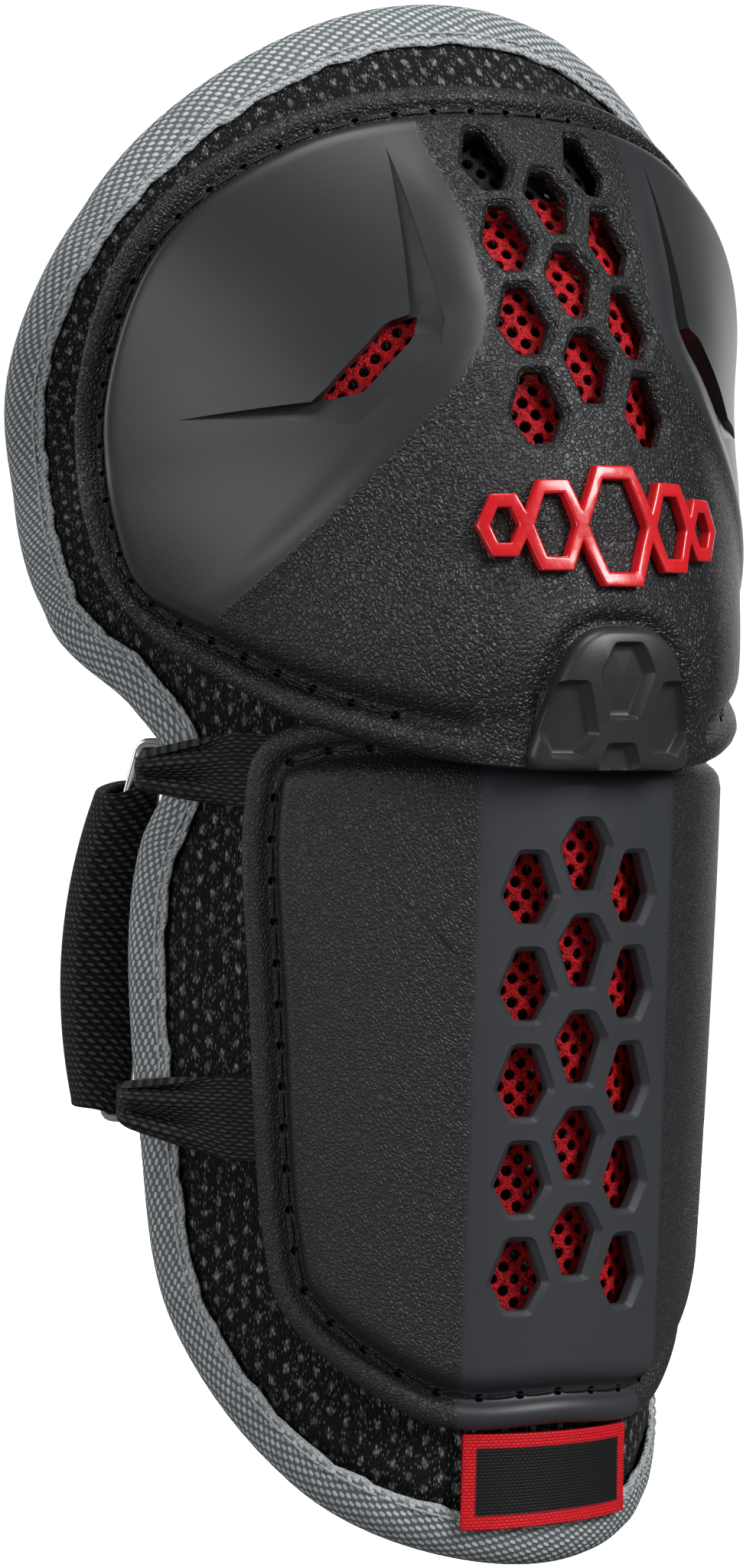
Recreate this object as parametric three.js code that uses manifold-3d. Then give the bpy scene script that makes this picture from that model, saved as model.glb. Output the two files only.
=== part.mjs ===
// Elbow guard: a padded panel bound at its edge, two moulded shells over red mesh, a wire ring and a strap.
// Millimetres, +Z up along the arm, the front towards -Y. The origin is on the arm's axis at the waist.
// Flat pattern (u, v): u across the arm from the front line, v up the arm from the waist. h is height off it.
import * as THREE from "three";
import { mergeVertices } from "three/addons/utils/BufferGeometryUtils.js";
import Module from "manifold-3d";

const wasm = await Module();
wasm.setup();

const gap = 0.4;

// Side view of the pad's front line: straight down the forearm, one arc back over the elbow. Degrees.
const frontLine = { y: -48, forearmLean: -3, bendStart: 25, bendEnd: 125, elbowLean: 33 };

// Cross sections: a front arc, a side arc out to the shell's rim, then a straight margin. Degrees.
const sections = [
  { v: -150, frontArc: 18, frontTurn: 26, rim: 50, rimTurn: 60 },
  { v: 0, frontArc: 22, frontTurn: 27, rim: 60, rimTurn: 64 },
  { v: 60, frontArc: 26, frontTurn: 30, rim: 92, rimTurn: 73 },
  { v: 125, frontArc: 24, frontTurn: 20, rim: 92, rimTurn: 60 },
];

// Right halves of the flat outlines, from the top of the front line to its foot.
const padEdge = [
  { u: 0, v: 149 }, { u: 40, v: 144 }, { u: 79, v: 127 }, { u: 105, v: 97 }, { u: 112.5, v: 62 },
  { u: 105, v: 22 }, { u: 86, v: 7.5 }, { u: 78, v: -2.5 }, { u: 83.5, v: -16 }, { u: 85.5, v: -32 },
  { u: 82, v: -68 }, { u: 74, v: -102 }, { u: 45, v: -131 }, { u: 0, v: -142 },
];
const upperRim = [
  { u: 0, v: 126 }, { u: 42, v: 125 }, { u: 72.5, v: 111 }, { u: 90, v: 79 }, { u: 91, v: 46 },
  { u: 84, v: 25 }, { u: 57, v: 11 }, { u: 25, v: 1.5 }, { u: 0, v: 0 },
];
const lowerRim = [
  { u: 0, v: 8 }, { u: 46, v: 7.5 }, { u: 56.5, v: 2 }, { u: 59, v: -10 }, { u: 57, v: -42 },
  { u: 53, v: -85 }, { u: 49, v: -97.5 }, { u: 28, v: -113.5 }, { u: 19, v: -116.5 }, { u: 0, v: -116 },
];
const padCentre = { u: 0, v: 0 };
const upperCentre = { u: 0, v: 62 };
const lowerCentre = { u: 0, v: -55 };

const pad = { face: -0.6, back: -8.4, edgeBack: -6.4, edgeFace: -2, edgeInset: 2.1, foldInset: 9.9 };
const padRings = [0, 0.2, 0.4, 0.6, 0.78, 0.92, 1];
const binding = { width: 9, wall: 1.3, clearance: 0.8, round: 1.5 };

// The foam swells into a cup under the elbow shell.
const cupSwell = {
  halfWidth: 75,
  rows: [{ v: 22, h: 0 }, { v: 52, h: 4 }, { v: 78, h: 3.2 }, { v: 108, h: 0 }],
};

const wall = 3;
const flange = { height: 3.4, width: 9, landing: 12 };
const upperDome = {
  side: 6.6, halfWidth: 62, lipStart: 24, lipEnd: 6, lip: 13, lipFall: 4.6, lipHalfWidth: 45,
  crown: [
    { v: 0, h: 14 }, { v: 19, h: 16 }, { v: 41, h: 12 }, { v: 66, h: 10 }, { v: 84, h: 8.2 }, { v: 126, h: 6 },
  ],
};
const lowerPanel = 6.6;
const ventMesh = { thickness: 1, inset: 14 };

// Vents: long hexagons, widest below the middle in the side columns and above it in the middle column.
const vent = { height: 12.2, halfWidth: 4.3, halfEnd: 1.75, sideDrop: 1.2, middleRise: 1.6, column: 9.8 };
const lowerVents = { count: 5, middleCount: 5, pitch: 17, sideTop: -21, middleTop: -15.2 };
const upperVents = { count: 4, middleCount: 3, pitch: 15.5, sideTop: 108, middleTop: 99.5 };

// Chevron recess on each side of the cup, with a slit through its short arm. Right half.
const chevron = {
  depth: 1.3,
  outline: [[26, 112], [22.3, 78], [23.5, 73.5], [38, 61], [68, 68], [45, 66.5], [27.5, 80]],
};
const slit = [[44, 66.8], [40.5, 70.5], [31.5, 79], [26, 80], [27.5, 75.5], [36.5, 66.8]];

// Clip boss at the foot of the cup, an arch that narrows upwards, with three hexagon pockets. Right half.
const clip = {
  outline: [[12.4, 1.2], [11.9, 7], [8.8, 18], [6.8, 22.3], [4.2, 24.4]], top: 24.8,
  rise: 1.6, root: 2.5, pocketFloor: 0.4,
};
const clipPockets = [
  { u: 0, v: 16.2, widest: 1 }, { u: 7.3, v: 9.2, widest: -1.8 }, { u: -7.3, v: 9.2, widest: -1.8 },
];
const clipPocket = { height: 13.8, halfWidth: 3.5, halfEnd: 1.8 };

// Emblem: five linked hexagon rings in a row, largest in the middle.
const badge = {
  v: 41.5, low: 0.3, high: 2.2, line: 2.3, sideLine: 2, endShare: 0.45,
  rings: [[0, 9.8, 6.8], [9.8, 7.4, 5], [17, 5.2, 4]],
};

// Wire ring just behind the left edge: a straight inner bar for the tabs, a bowed outer one for the strap.
const ring = {
  wire: 1.1, h: -10.5, top: 1.4, foot: -66.6, innerTop: -85, innerFoot: -90.6,
  across: 7, bow: 4.5, corner: 2.4, turn: 75,
};
const ringSteps = { along: 44, round: 6, corner: 4 };

// Webbing tabs: from the lower shell's rim over the bound edge, round the ring's inner bar, in behind the pad.
const tab = {
  thickness: 1.5, start: -60.4, h: 1.75, flatShort: 2.5, bendPast: 1.6, backEnd: -74, backHeight: -10.6,
  clearance: 0.35, bendSteps: 6, foldFrom: 147, foldTo: 280, foldSteps: 8,
};
const tabs = [
  { name: "webbing_tab_upper", edge: -82.2, shellTop: 4, shellFoot: -7.6, barTop: -1.2, barFoot: -6.4 },
  { name: "webbing_tab_lower", edge: -82.8, shellTop: -57, shellFoot: -71, barTop: -58.8, barFoot: -64 },
];

// Elastic strap: laid on the right margin, round the arm, round the ring's outer bar and back on itself.
const strap = {
  thickness: 2, top: -2.5, foot: -61.7, backDepth: 38, foldClearance: 0.8, overlap: 0.62,
  rightStart: 61, rightEnd: 84, marginHeight: 2.1, layerGap: 0.35,
  widthSteps: 4, backSteps: 28, foldSteps: 8, overlapSteps: 14, closeShare: 0.7,
};

const label = {
  low: 0.9, high: 1.9, corners: [[-17, -117.4], [18, -117.4], [17.5, -133.4], [-17, -134.6]],
};

const rad = THREE.MathUtils.degToRad;
const { smoothstep } = THREE.MathUtils;

// Value of one column of a table at v, eased from row to row.
function along(rows, key, v) {
  const last = rows.length - 1;
  if (v <= rows[0].v) return rows[0][key];
  if (v >= rows[last].v) return rows[last][key];
  const i = rows.findIndex((row) => row.v > v);
  const t = smoothstep(v, rows[i - 1].v, rows[i].v);
  return THREE.MathUtils.lerp(rows[i - 1][key], rows[i][key], t);
}

function frontLineAt(v) {
  const low = rad(frontLine.forearmLean);
  const high = rad(frontLine.elbowLean);
  const radius = (frontLine.bendEnd - frontLine.bendStart) / (high - low);
  const bent = THREE.MathUtils.clamp(v, frontLine.bendStart, frontLine.bendEnd);
  const lean = low + (bent - frontLine.bendStart) / radius;
  const before = Math.min(v, frontLine.bendStart);
  const after = Math.max(v - frontLine.bendEnd, 0);
  const y = before * Math.sin(low) + radius * (Math.cos(low) - Math.cos(lean)) + after * Math.sin(lean);
  const z = before * Math.cos(low) + radius * (Math.sin(lean) - Math.sin(low)) + after * Math.cos(lean);
  return { y: frontLine.y + y, z, lean };
}

function sectionAt(u, v) {
  const side = Math.sign(u);
  const reach = Math.abs(u);
  const frontArc = along(sections, "frontArc", v);
  const frontTurn = rad(along(sections, "frontTurn", v));
  const rim = along(sections, "rim", v);
  const rimTurn = rad(along(sections, "rimTurn", v));
  const frontRadius = frontArc / frontTurn;
  const sideRadius = (rim - frontArc) / (rimTurn - frontTurn);
  const front = Math.min(reach / frontRadius, frontTurn);
  const turn = reach > frontArc ? Math.min(frontTurn + (reach - frontArc) / sideRadius, rimTurn) : front;
  const margin = Math.max(reach - rim, 0);
  const sideTurn = Math.max(turn, frontTurn);
  let x = frontRadius * Math.sin(front);
  let d = frontRadius * (1 - Math.cos(front));
  x += sideRadius * (Math.sin(sideTurn) - Math.sin(frontTurn)) + margin * Math.cos(rimTurn);
  d += sideRadius * (Math.cos(frontTurn) - Math.cos(sideTurn)) + margin * Math.sin(rimTurn);
  return { x: side * x, d, turn: side * turn };
}

// Flat pattern point to its place on the arm.
function wrap(u, v, h) {
  const { y, z, lean } = frontLineAt(v);
  const { x, d, turn } = sectionAt(u, v);
  const depth = d - h * Math.cos(turn);
  return new THREE.Vector3(
    x + h * Math.sin(turn),
    y + depth * Math.cos(lean),
    z - depth * Math.sin(lean),
  );
}

// Closed geometry to a solid, after each vertex has been moved by place(x, y, z).
function solid(geometry, place) {
  const position = geometry.attributes.position;
  for (let i = 0; place && i < position.count; i += 1) {
    const p = place(position.getX(i), position.getY(i), position.getZ(i));
    position.setXYZ(i, p.x, p.y, p.z);
  }
  geometry.deleteAttribute("normal");
  geometry.deleteAttribute("uv");
  const welded = mergeVertices(geometry, 1e-4);
  const index = welded.index.array;
  const triVerts = [];
  for (let i = 0; i < index.length; i += 3) {
    const [a, b, c] = index.slice(i, i + 3);
    if (a !== b && b !== c && c !== a) triVerts.push(a, b, c);
  }
  const mesh = new wasm.Mesh({
    numProp: 3,
    vertProperties: Float32Array.from(welded.attributes.position.array),
    triVerts: Uint32Array.from(triVerts),
  });
  return new wasm.Manifold(mesh);
}

function geometryOf(body) {
  const mesh = body.getMesh();
  const geometry = new THREE.BufferGeometry();
  geometry.setAttribute("position", new THREE.BufferAttribute(mesh.vertProperties, 3));
  geometry.setIndex(new THREE.BufferAttribute(mesh.triVerts, 1));
  geometry.computeVertexNormals();
  return geometry;
}

// A wrapped layer of the whole pattern between two heights. Layers share one grid, so they nest.
const grid = {
  across: [0, 11, 22, 33, 46, 60, 76, 92, 120],
  up: [-150, -118, -86, -54, -26, -6, 8, 20, 32, 46, 62, 80, 98, 114, 130, 162],
};
function layer(low, high) {
  const reach = grid.across.length - 1;
  const steps = grid.up.length - 1;
  const box = new THREE.BoxGeometry(2 * reach, steps, 2, 2 * reach, steps, 1);
  return solid(box, (x, y, side) => {
    const u = Math.sign(x) * grid.across[Math.round(Math.abs(x))];
    const v = grid.up[Math.round(y + steps / 2)];
    return wrap(u, v, side < 0 ? low(u, v) : high(u, v));
  });
}
const level = (h) => () => h;

// Evenly spaced points of a closed outline whose right half is given.
function outlinePoints(rows, count) {
  const right = rows.map((row) => new THREE.Vector3(row.u, row.v, 0));
  const left = right.slice(1, -1).reverse().map((p) => new THREE.Vector3(-p.x, p.y, 0));
  const curve = new THREE.CatmullRomCurve3([...right, ...left], true, "centripetal");
  return curve.getSpacedPoints(count).slice(0, count);
}

// The outline moved inwards by a distance, along its own normals.
function inset(points, distance) {
  return points.map((p, i) => {
    const before = points.at(i - 1);
    const after = points[(i + 1) % points.length];
    const heading = after.clone().sub(before).normalize();
    return new THREE.Vector3(p.x + heading.y * distance, p.y - heading.x * distance, 0);
  });
}

// Which of count outline points a turned vertex belongs to.
function pointIndex(x, z, count) {
  const turn = (Math.atan2(x, z) / (2 * Math.PI) + 1) % 1;
  return Math.round(turn * count) % count;
}

// A tall wrapped column that stands on an outline: a turned disc stretched to the outline.
const column = { low: -20, high: 32, rings: 4 };
const openSpace = { low: -10, high: 30 };
function columnOf(points, centre) {
  const { low, high, rings } = column;
  const profile = [];
  for (let i = 0; i <= rings; i += 1) profile.push(new THREE.Vector2(i / rings, high));
  for (let i = rings; i >= 0; i -= 1) profile.push(new THREE.Vector2(i / rings, low));
  const disc = new THREE.LatheGeometry(profile, points.length);
  return solid(disc, (x, h, z) => {
    const p = points[pointIndex(x, z, points.length)];
    const r = Math.hypot(x, z);
    return wrap(centre.u + r * (p.x - centre.u), centre.v + r * (p.y - centre.v), h);
  });
}

// A wrapped prism on a small polygon.
function prismOf(corners) {
  const shape = new THREE.Shape(corners.map(([u, v]) => new THREE.Vector2(u, v)));
  const prism = new THREE.ExtrudeGeometry(shape, { depth: column.high - column.low, bevelEnabled: false });
  return solid(prism, (u, v, h) => wrap(u, v, h + column.low));
}

// A drafted vent core: a six-sided cone whose section at the shell's face is the given hexagon.
const core = { tip: -60, face: 7, top: 30 };
function ventCore(corners) {
  const cone = new THREE.CylinderGeometry(1, 0, 1, corners.length);
  const middle = {
    u: corners.reduce((sum, [u]) => sum + u, 0) / corners.length,
    v: corners.reduce((sum, [, v]) => sum + v, 0) / corners.length,
  };
  const spread = (core.top - core.tip) / (core.face - core.tip);
  const tip = wrap(middle.u, middle.v, core.tip);
  return solid(cone, (x, y, z) => {
    const [u, v] = corners[pointIndex(x, z, corners.length)];
    const rim = wrap(u, v, core.face).sub(tip).multiplyScalar(spread).add(tip);
    const centre = wrap(middle.u, middle.v, core.face).sub(tip).multiplyScalar(spread).add(tip);
    if (y < 0) return tip;
    return Math.hypot(x, z) < 0.5 ? centre : rim;
  });
}

// A long hexagon with flat ends, its widest point moved up by rise.
function hexagon(u, v, { height, halfWidth, halfEnd }, rise = 0) {
  const top = v + height / 2;
  const foot = v - height / 2;
  return [
    [u - halfEnd, foot], [u + halfEnd, foot], [u + halfWidth, v + rise],
    [u + halfEnd, top], [u - halfEnd, top], [u - halfWidth, v + rise],
  ];
}

const mirrored = (corners) => corners.map(([u, v]) => [-u, v]).reverse();

// Heights off the pattern.
const bump = (u, halfWidth) => Math.max(1 - (u / halfWidth) ** 2, 0) ** 2;
const padFace = (u, v) => along(cupSwell.rows, "h", v) * bump(u, cupSwell.halfWidth);
const domeFace = (u, v) => {
  const crown = along(upperDome.crown, "h", v);
  return upperDome.side + (crown - upperDome.side) * bump(u, upperDome.halfWidth);
};
const upperFlange = (u, v) => {
  const lip = upperDome.lip - upperDome.lipFall * (u / upperDome.lipHalfWidth) ** 2;
  const lift = 1 - smoothstep(v, upperDome.lipEnd, upperDome.lipStart);
  return flange.height + Math.max(lip - flange.height, 0) * lift;
};

const outlineSteps = { pad: 46, upper: 34, lower: 32, mesh: 18 };
const padOutline = outlinePoints(padEdge, outlineSteps.pad);

// The pad: a turned disc stretched to the outline, full in the middle and pressed thin along its edge.
function makePad() {
  const fold = inset(padOutline, pad.foldInset);
  const edge = inset(padOutline, pad.edgeInset);
  const centre = new THREE.Vector3(padCentre.u, padCentre.v, 0);
  const rings = padRings.map((share) => fold.map((p) => centre.clone().lerp(p, share)));
  const foldRing = rings.length - 1;
  const edgeRing = rings.push(edge) - 1;
  const faceHeight = (u, v) => padFace(u, v) + pad.face;
  const heights = [level(pad.back), level(pad.edgeBack), level(pad.edgeFace), faceHeight];
  const face = rings.slice(0, edgeRing).map((_, ring) => [ring, 3]);
  const back = face.map(([ring]) => [ring, 0]).reverse();
  const side = [[foldRing, 2], [edgeRing, 2], [edgeRing, 1], [foldRing, 1]];
  const profile = [...face, ...side, ...back].map(([ring, height]) => new THREE.Vector2(ring, height));
  return solid(new THREE.LatheGeometry(profile, padOutline.length), (x, height, z) => {
    const p = rings[Math.round(Math.hypot(x, z))][pointIndex(x, z, padOutline.length)];
    return wrap(p.x, p.y, heights[Math.round(height)](p.x, p.y));
  });
}

// A folded tape: a turned ring of U section, stretched to the pad's edge.
function makeBinding() {
  const { width, wall: tape, clearance, round } = binding;
  const low = pad.edgeBack - clearance - tape;
  const high = pad.edgeFace + clearance + tape;
  const loop = [
    [round, low], [width, low], [width, low + tape], [tape, low + tape], [tape, high - tape],
    [width, high - tape], [width, high], [round, high], [0, high - round], [0, low + round], [round, low],
  ];
  const turnedRadius = 2 * width;
  const profile = loop.map(([depth, h]) => new THREE.Vector2(turnedRadius - depth, h));
  return solid(new THREE.LatheGeometry(profile, padOutline.length), (x, h, z) => {
    const p = inset(padOutline, turnedRadius - Math.hypot(x, z))[pointIndex(x, z, padOutline.length)];
    return wrap(p.x, p.y, h);
  });
}

// A shell: a flange on the pad, a raised face inside it, hollow underneath.
function makeShell(points, centre, flangeFace, face) {
  const under = (u, v) => flangeFace(u, v) - wall;
  const foot = layer(under, flangeFace).intersect(columnOf(points, centre));
  const raised = layer(under, face).intersect(columnOf(inset(points, flange.width), centre));
  const hollow = layer(level(openSpace.low), (u, v) => face(u, v) - wall);
  return foot.add(raised).subtract(hollow.intersect(columnOf(inset(points, flange.landing), centre)));
}

function ventCorners({ count, middleCount, pitch, sideTop, middleTop }) {
  const corners = [];
  for (let i = 0; i < count; i += 1) {
    const v = sideTop - i * pitch;
    for (const side of [-1, 1]) corners.push(hexagon(side * vent.column, v, vent, -vent.sideDrop));
  }
  for (let i = 0; i < middleCount; i += 1) {
    corners.push(hexagon(0, middleTop - i * pitch, vent, vent.middleRise));
  }
  return corners;
}

function clipBoss() {
  const corners = [...clip.outline, [0, clip.top], ...mirrored(clip.outline)];
  const raise = (rise) => (u, v) => domeFace(u, v) + rise;
  let boss = layer(raise(-clip.root), raise(clip.rise)).intersect(prismOf(corners));
  const pocketSpace = layer(raise(clip.pocketFloor), level(openSpace.high));
  for (const { u, v, widest } of clipPockets) {
    boss = boss.subtract(pocketSpace.intersect(prismOf(hexagon(u, v, clipPocket, widest))));
  }
  return boss;
}

function makeUpperShell() {
  const points = outlinePoints(upperRim, outlineSteps.upper);
  let shell = makeShell(points, upperCentre, upperFlange, domeFace).add(clipBoss());
  const recess = layer((u, v) => domeFace(u, v) - chevron.depth, level(openSpace.high));
  for (const turned of [(corners) => corners, mirrored]) {
    shell = shell.subtract(recess.intersect(prismOf(turned(chevron.outline))));
    shell = shell.subtract(prismOf(turned(slit)));
  }
  for (const corners of ventCorners(upperVents)) shell = shell.subtract(ventCore(corners));
  return shell;
}

function makeLowerShell() {
  const points = outlinePoints(lowerRim, outlineSteps.lower);
  let shell = makeShell(points, lowerCentre, level(flange.height), level(lowerPanel));
  for (const corners of ventCorners(lowerVents)) shell = shell.subtract(ventCore(corners));
  return shell;
}

function makeVentMesh(rim, centre) {
  const points = inset(outlinePoints(rim, outlineSteps.mesh), ventMesh.inset);
  const low = (u, v) => padFace(u, v) + gap;
  return layer(low, (u, v) => low(u, v) + ventMesh.thickness).intersect(columnOf(points, centre));
}

function makeBadge() {
  const hexagonOf = (u, halfHeight, halfWidth) =>
    prismOf(hexagon(u, badge.v, {
      height: 2 * halfHeight, halfWidth, halfEnd: halfWidth * badge.endShare,
    }));
  const left = badge.rings.slice(1).map(([u, ...size]) => [-u, ...size]);
  const placed = [...badge.rings, ...left];
  const outer = placed.map(([u, high, wide]) => hexagonOf(u, high, wide));
  const inner = placed.map(([u, high, wide]) => hexagonOf(u, high - badge.line, wide - badge.sideLine));
  const rings = wasm.Manifold.union(outer).subtract(wasm.Manifold.union(inner));
  const raise = (rise) => (u, v) => domeFace(u, v) + rise;
  return layer(raise(badge.low), raise(badge.high)).intersect(rings);
}

// The ring's inner bar in the flat pattern.
function barAt(v) {
  const t = (v - ring.top) / (ring.foot - ring.top);
  return THREE.MathUtils.lerp(ring.innerTop, ring.innerFoot, t);
}

const ringAcross = new THREE.Vector3(-Math.cos(rad(ring.turn)), Math.sin(rad(ring.turn)), 0);
const ringOff = new THREE.Vector3(-Math.sin(rad(ring.turn)), -Math.cos(rad(ring.turn)), 0);

// A point of the ring: across its plane from the inner bar, at v along it, and off the plane.
function ringPoint(across, v, off = 0) {
  const point = wrap(barAt(v), v, ring.h);
  return point.addScaledVector(ringAcross, across).addScaledVector(ringOff, off);
}

// A torus stretched to a long loop with round ends.
function makeRing() {
  const { top, foot, across, bow, corner } = ring;
  const path = new THREE.Path();
  path.moveTo(0, top - corner);
  path.quadraticCurveTo(0, top, -corner, top);
  path.lineTo(corner - across, top);
  path.quadraticCurveTo(-across, top, -across, top - corner);
  path.quadraticCurveTo(-across - 2 * bow, (top + foot) / 2, -across, foot + corner);
  path.quadraticCurveTo(-across, foot, corner - across, foot);
  path.lineTo(-corner, foot);
  path.quadraticCurveTo(0, foot, 0, foot + corner);
  path.closePath();
  const stations = path.getPoints(ringSteps.corner).map((p) => new THREE.Vector3(p.x, p.y, 0));
  const loop = new THREE.CatmullRomCurve3(stations.slice(0, -1), true);
  const centre = loop.getSpacedPoints(ringSteps.along).slice(0, -1);
  const torusRadius = 4 * ring.wire;
  const torus = new THREE.TorusGeometry(torusRadius, ring.wire, ringSteps.round, ringSteps.along);
  return solid(torus, (x, y, z) => {
    const p = inset(centre, Math.hypot(x, y) - torusRadius)[pointIndex(y, x, centre.length)];
    return ringPoint(-p.x, p.y, z);
  });
}

// A band of constant thickness on both sides of a path, as a closed shape.
function bandShape(path, thickness) {
  const sideOf = (sign) => path.map((p, i) => {
    const before = path[Math.max(i - 1, 0)];
    const after = path[Math.min(i + 1, path.length - 1)];
    const heading = after.clone().sub(before).normalize();
    return new THREE.Vector2(p.x - heading.y * sign, p.y + heading.x * sign);
  });
  return new THREE.Shape([...sideOf(-thickness / 2), ...sideOf(thickness / 2).reverse()]);
}

function arcPoints(x, y, radius, from, to, count) {
  const curve = new THREE.EllipseCurve(x, y, radius, radius, rad(from), rad(to), to < from);
  return curve.getPoints(count);
}

function makeTab({ edge, shellTop, shellFoot, barTop, barFoot }) {
  const bar = barAt((barTop + barFoot) / 2);
  const turn = ring.wire + tab.clearance + tab.thickness / 2;
  const fold = arcPoints(bar, ring.h, turn, tab.foldFrom, tab.foldTo, tab.foldSteps);
  const flatEnd = new THREE.Vector2(edge + tab.flatShort, tab.h);
  const overEdge = new THREE.Vector2(edge - tab.bendPast, tab.h);
  const bend = new THREE.QuadraticBezierCurve(flatEnd, overEdge, fold[0]).getPoints(tab.bendSteps);
  const back = new THREE.Vector2(tab.backEnd, tab.backHeight);
  const path = [new THREE.Vector2(tab.start, tab.h), ...bend.slice(0, -1), ...fold, back];
  const shape = bandShape(path, tab.thickness);
  const band = new THREE.ExtrudeGeometry(shape, { depth: 1, bevelEnabled: false });
  return solid(band, (u, h, across) => {
    const t = THREE.MathUtils.clamp((u - tab.start) / (bar - tab.start), 0, 1);
    const top = THREE.MathUtils.lerp(shellTop, barTop, t);
    const foot = THREE.MathUtils.lerp(shellFoot, barFoot, t);
    const lean = barAt((top + foot) / 2) - bar;
    return wrap(u + lean * t, THREE.MathUtils.lerp(top, foot, across), h);
  });
}

// Sideways travel for each millimetre of rise from one point to another.
function slope(from, to) {
  const travel = to.clone().sub(from);
  return new THREE.Vector3(travel.x / travel.z, travel.y / travel.z, 0);
}

function makeStrap() {
  const mid = (strap.top + strap.foot) / 2;
  const plan = (u, h) => {
    const p = wrap(u, mid, h);
    return new THREE.Vector2(p.x, p.y);
  };
  const rightMiddle = (strap.rightStart + strap.rightEnd) / 2;
  const onMargin = [strap.rightStart, rightMiddle, strap.rightEnd];
  const path = onMargin.map((u) => plan(u, strap.marginHeight));
  const rightX = path.at(-1).x;
  const barPoint = (v) => ringPoint(ring.across, v);
  const bar = barPoint(mid);
  const turn = ring.wire + strap.foldClearance + strap.thickness / 2;
  const innerX = bar.x + turn;
  const outerX = bar.x - turn;
  for (let i = 1; i <= strap.backSteps; i += 1) {
    const angle = Math.PI * (i / strap.backSteps);
    const reach = angle < Math.PI / 2 ? rightX : -innerX;
    path.push(new THREE.Vector2(reach * Math.cos(angle), bar.y + strap.backDepth * Math.sin(angle)));
  }
  path.push(...arcPoints(bar.x, bar.y, turn, 0, -180, strap.foldSteps).slice(1));
  const laidGap = strap.thickness + strap.layerGap;
  for (let i = 1; i <= strap.overlapSteps; i += 1) {
    const t = i / strap.overlapSteps;
    const angle = Math.PI * (1 - (strap.overlap / 2) * t);
    const spread = THREE.MathUtils.lerp(innerX - outerX, laidGap, smoothstep(t, 0, strap.closeShare));
    const across = new THREE.Vector2(strap.backDepth * Math.cos(angle), -innerX * Math.sin(angle));
    const normal = across.normalize();
    path.push(new THREE.Vector2(
      -innerX * Math.cos(angle) + normal.x * spread,
      bar.y + strap.backDepth * Math.sin(angle) + normal.y * spread,
    ));
  }
  const width = strap.top - strap.foot;
  const shape = bandShape(path, strap.thickness);
  const steps = strap.widthSteps;
  const band = new THREE.ExtrudeGeometry(shape, { depth: width, steps, bevelEnabled: false });
  const marginPoint = (v) => wrap(strap.rightEnd, v, 0);
  const barLean = slope(barPoint(ring.foot), barPoint(ring.top));
  const marginLean = slope(marginPoint(ring.foot), marginPoint(ring.top));
  const bowTop = barPoint(ring.top - ring.corner).z;
  const bowFoot = barPoint(ring.foot + ring.corner).z;
  return solid(band, (x, y, z) => {
    const side = smoothstep(x, bar.x, -bar.x);
    const lean = barLean.clone().lerp(marginLean, side);
    const point = new THREE.Vector3(x, y, strap.foot + z).addScaledVector(lean, z - width / 2);
    const t = THREE.MathUtils.clamp((bowTop - point.z) / (bowTop - bowFoot), 0, 1);
    return point.addScaledVector(ringAcross, 4 * ring.bow * t * (1 - t) * (1 - side));
  });
}

function makeLabel() {
  return layer(level(label.low), level(label.high)).intersect(prismOf(label.corners));
}

const guard = new THREE.Group();
function addPiece(name, body, color, roughness, metalness = 0) {
  const material = new THREE.MeshStandardMaterial({ color, roughness, metalness });
  const mesh = new THREE.Mesh(geometryOf(body), material);
  mesh.name = name;
  guard.add(mesh);
}

addPiece("pad_body", makePad(), 0x161617, 0.9);
addPiece("edge_binding", makeBinding(), 0x85888b, 0.85);
addPiece("upper_shell", makeUpperShell(), 0x2b2c30, 0.5);
addPiece("lower_shell", makeLowerShell(), 0x303136, 0.5);
addPiece("vent_mesh_upper", makeVentMesh(upperRim, upperCentre), 0xa81824, 0.8);
addPiece("vent_mesh_lower", makeVentMesh(lowerRim, lowerCentre), 0xa81824, 0.8);
addPiece("front_badge", makeBadge(), 0xcf1f2b, 0.3);
addPiece("strap_ring", makeRing(), 0xc9cbce, 0.15, 1);
for (const row of tabs) addPiece(row.name, makeTab(row), 0x17171a, 0.8);
addPiece("elastic_strap", makeStrap(), 0x1a1a1c, 0.85);
addPiece("woven_label", makeLabel(), 0xb3202a, 0.8);

export default guard;
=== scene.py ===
import math
from functools import partial

import bmesh
import bpy
import numpy as np
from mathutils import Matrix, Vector
from mathutils.kdtree import KDTree


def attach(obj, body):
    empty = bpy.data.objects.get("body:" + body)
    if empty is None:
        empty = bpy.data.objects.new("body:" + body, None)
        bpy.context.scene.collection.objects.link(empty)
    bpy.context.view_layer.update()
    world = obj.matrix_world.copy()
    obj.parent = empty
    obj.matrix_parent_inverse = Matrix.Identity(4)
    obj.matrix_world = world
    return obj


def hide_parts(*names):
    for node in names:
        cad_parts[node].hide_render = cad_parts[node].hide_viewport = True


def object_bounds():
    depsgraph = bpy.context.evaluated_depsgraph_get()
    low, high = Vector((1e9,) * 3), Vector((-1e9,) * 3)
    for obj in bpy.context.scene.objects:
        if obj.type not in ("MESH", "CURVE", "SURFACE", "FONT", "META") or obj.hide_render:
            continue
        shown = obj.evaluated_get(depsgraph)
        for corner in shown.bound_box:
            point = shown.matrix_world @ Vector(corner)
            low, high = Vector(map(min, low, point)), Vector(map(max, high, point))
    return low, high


# Elbow guard: the looks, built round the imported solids.
# Flat pattern sizes are in mm: u across the arm, v up it, h off the pattern. wrap() gives metres.
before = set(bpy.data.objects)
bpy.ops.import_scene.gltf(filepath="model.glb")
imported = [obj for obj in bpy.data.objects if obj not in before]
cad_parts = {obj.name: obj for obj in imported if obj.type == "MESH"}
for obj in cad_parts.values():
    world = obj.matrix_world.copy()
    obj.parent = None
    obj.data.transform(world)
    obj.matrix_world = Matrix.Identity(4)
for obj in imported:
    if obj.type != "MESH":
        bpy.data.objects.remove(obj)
cadLow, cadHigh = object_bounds()
mm = 0.001
scene = bpy.context.scene
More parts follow.
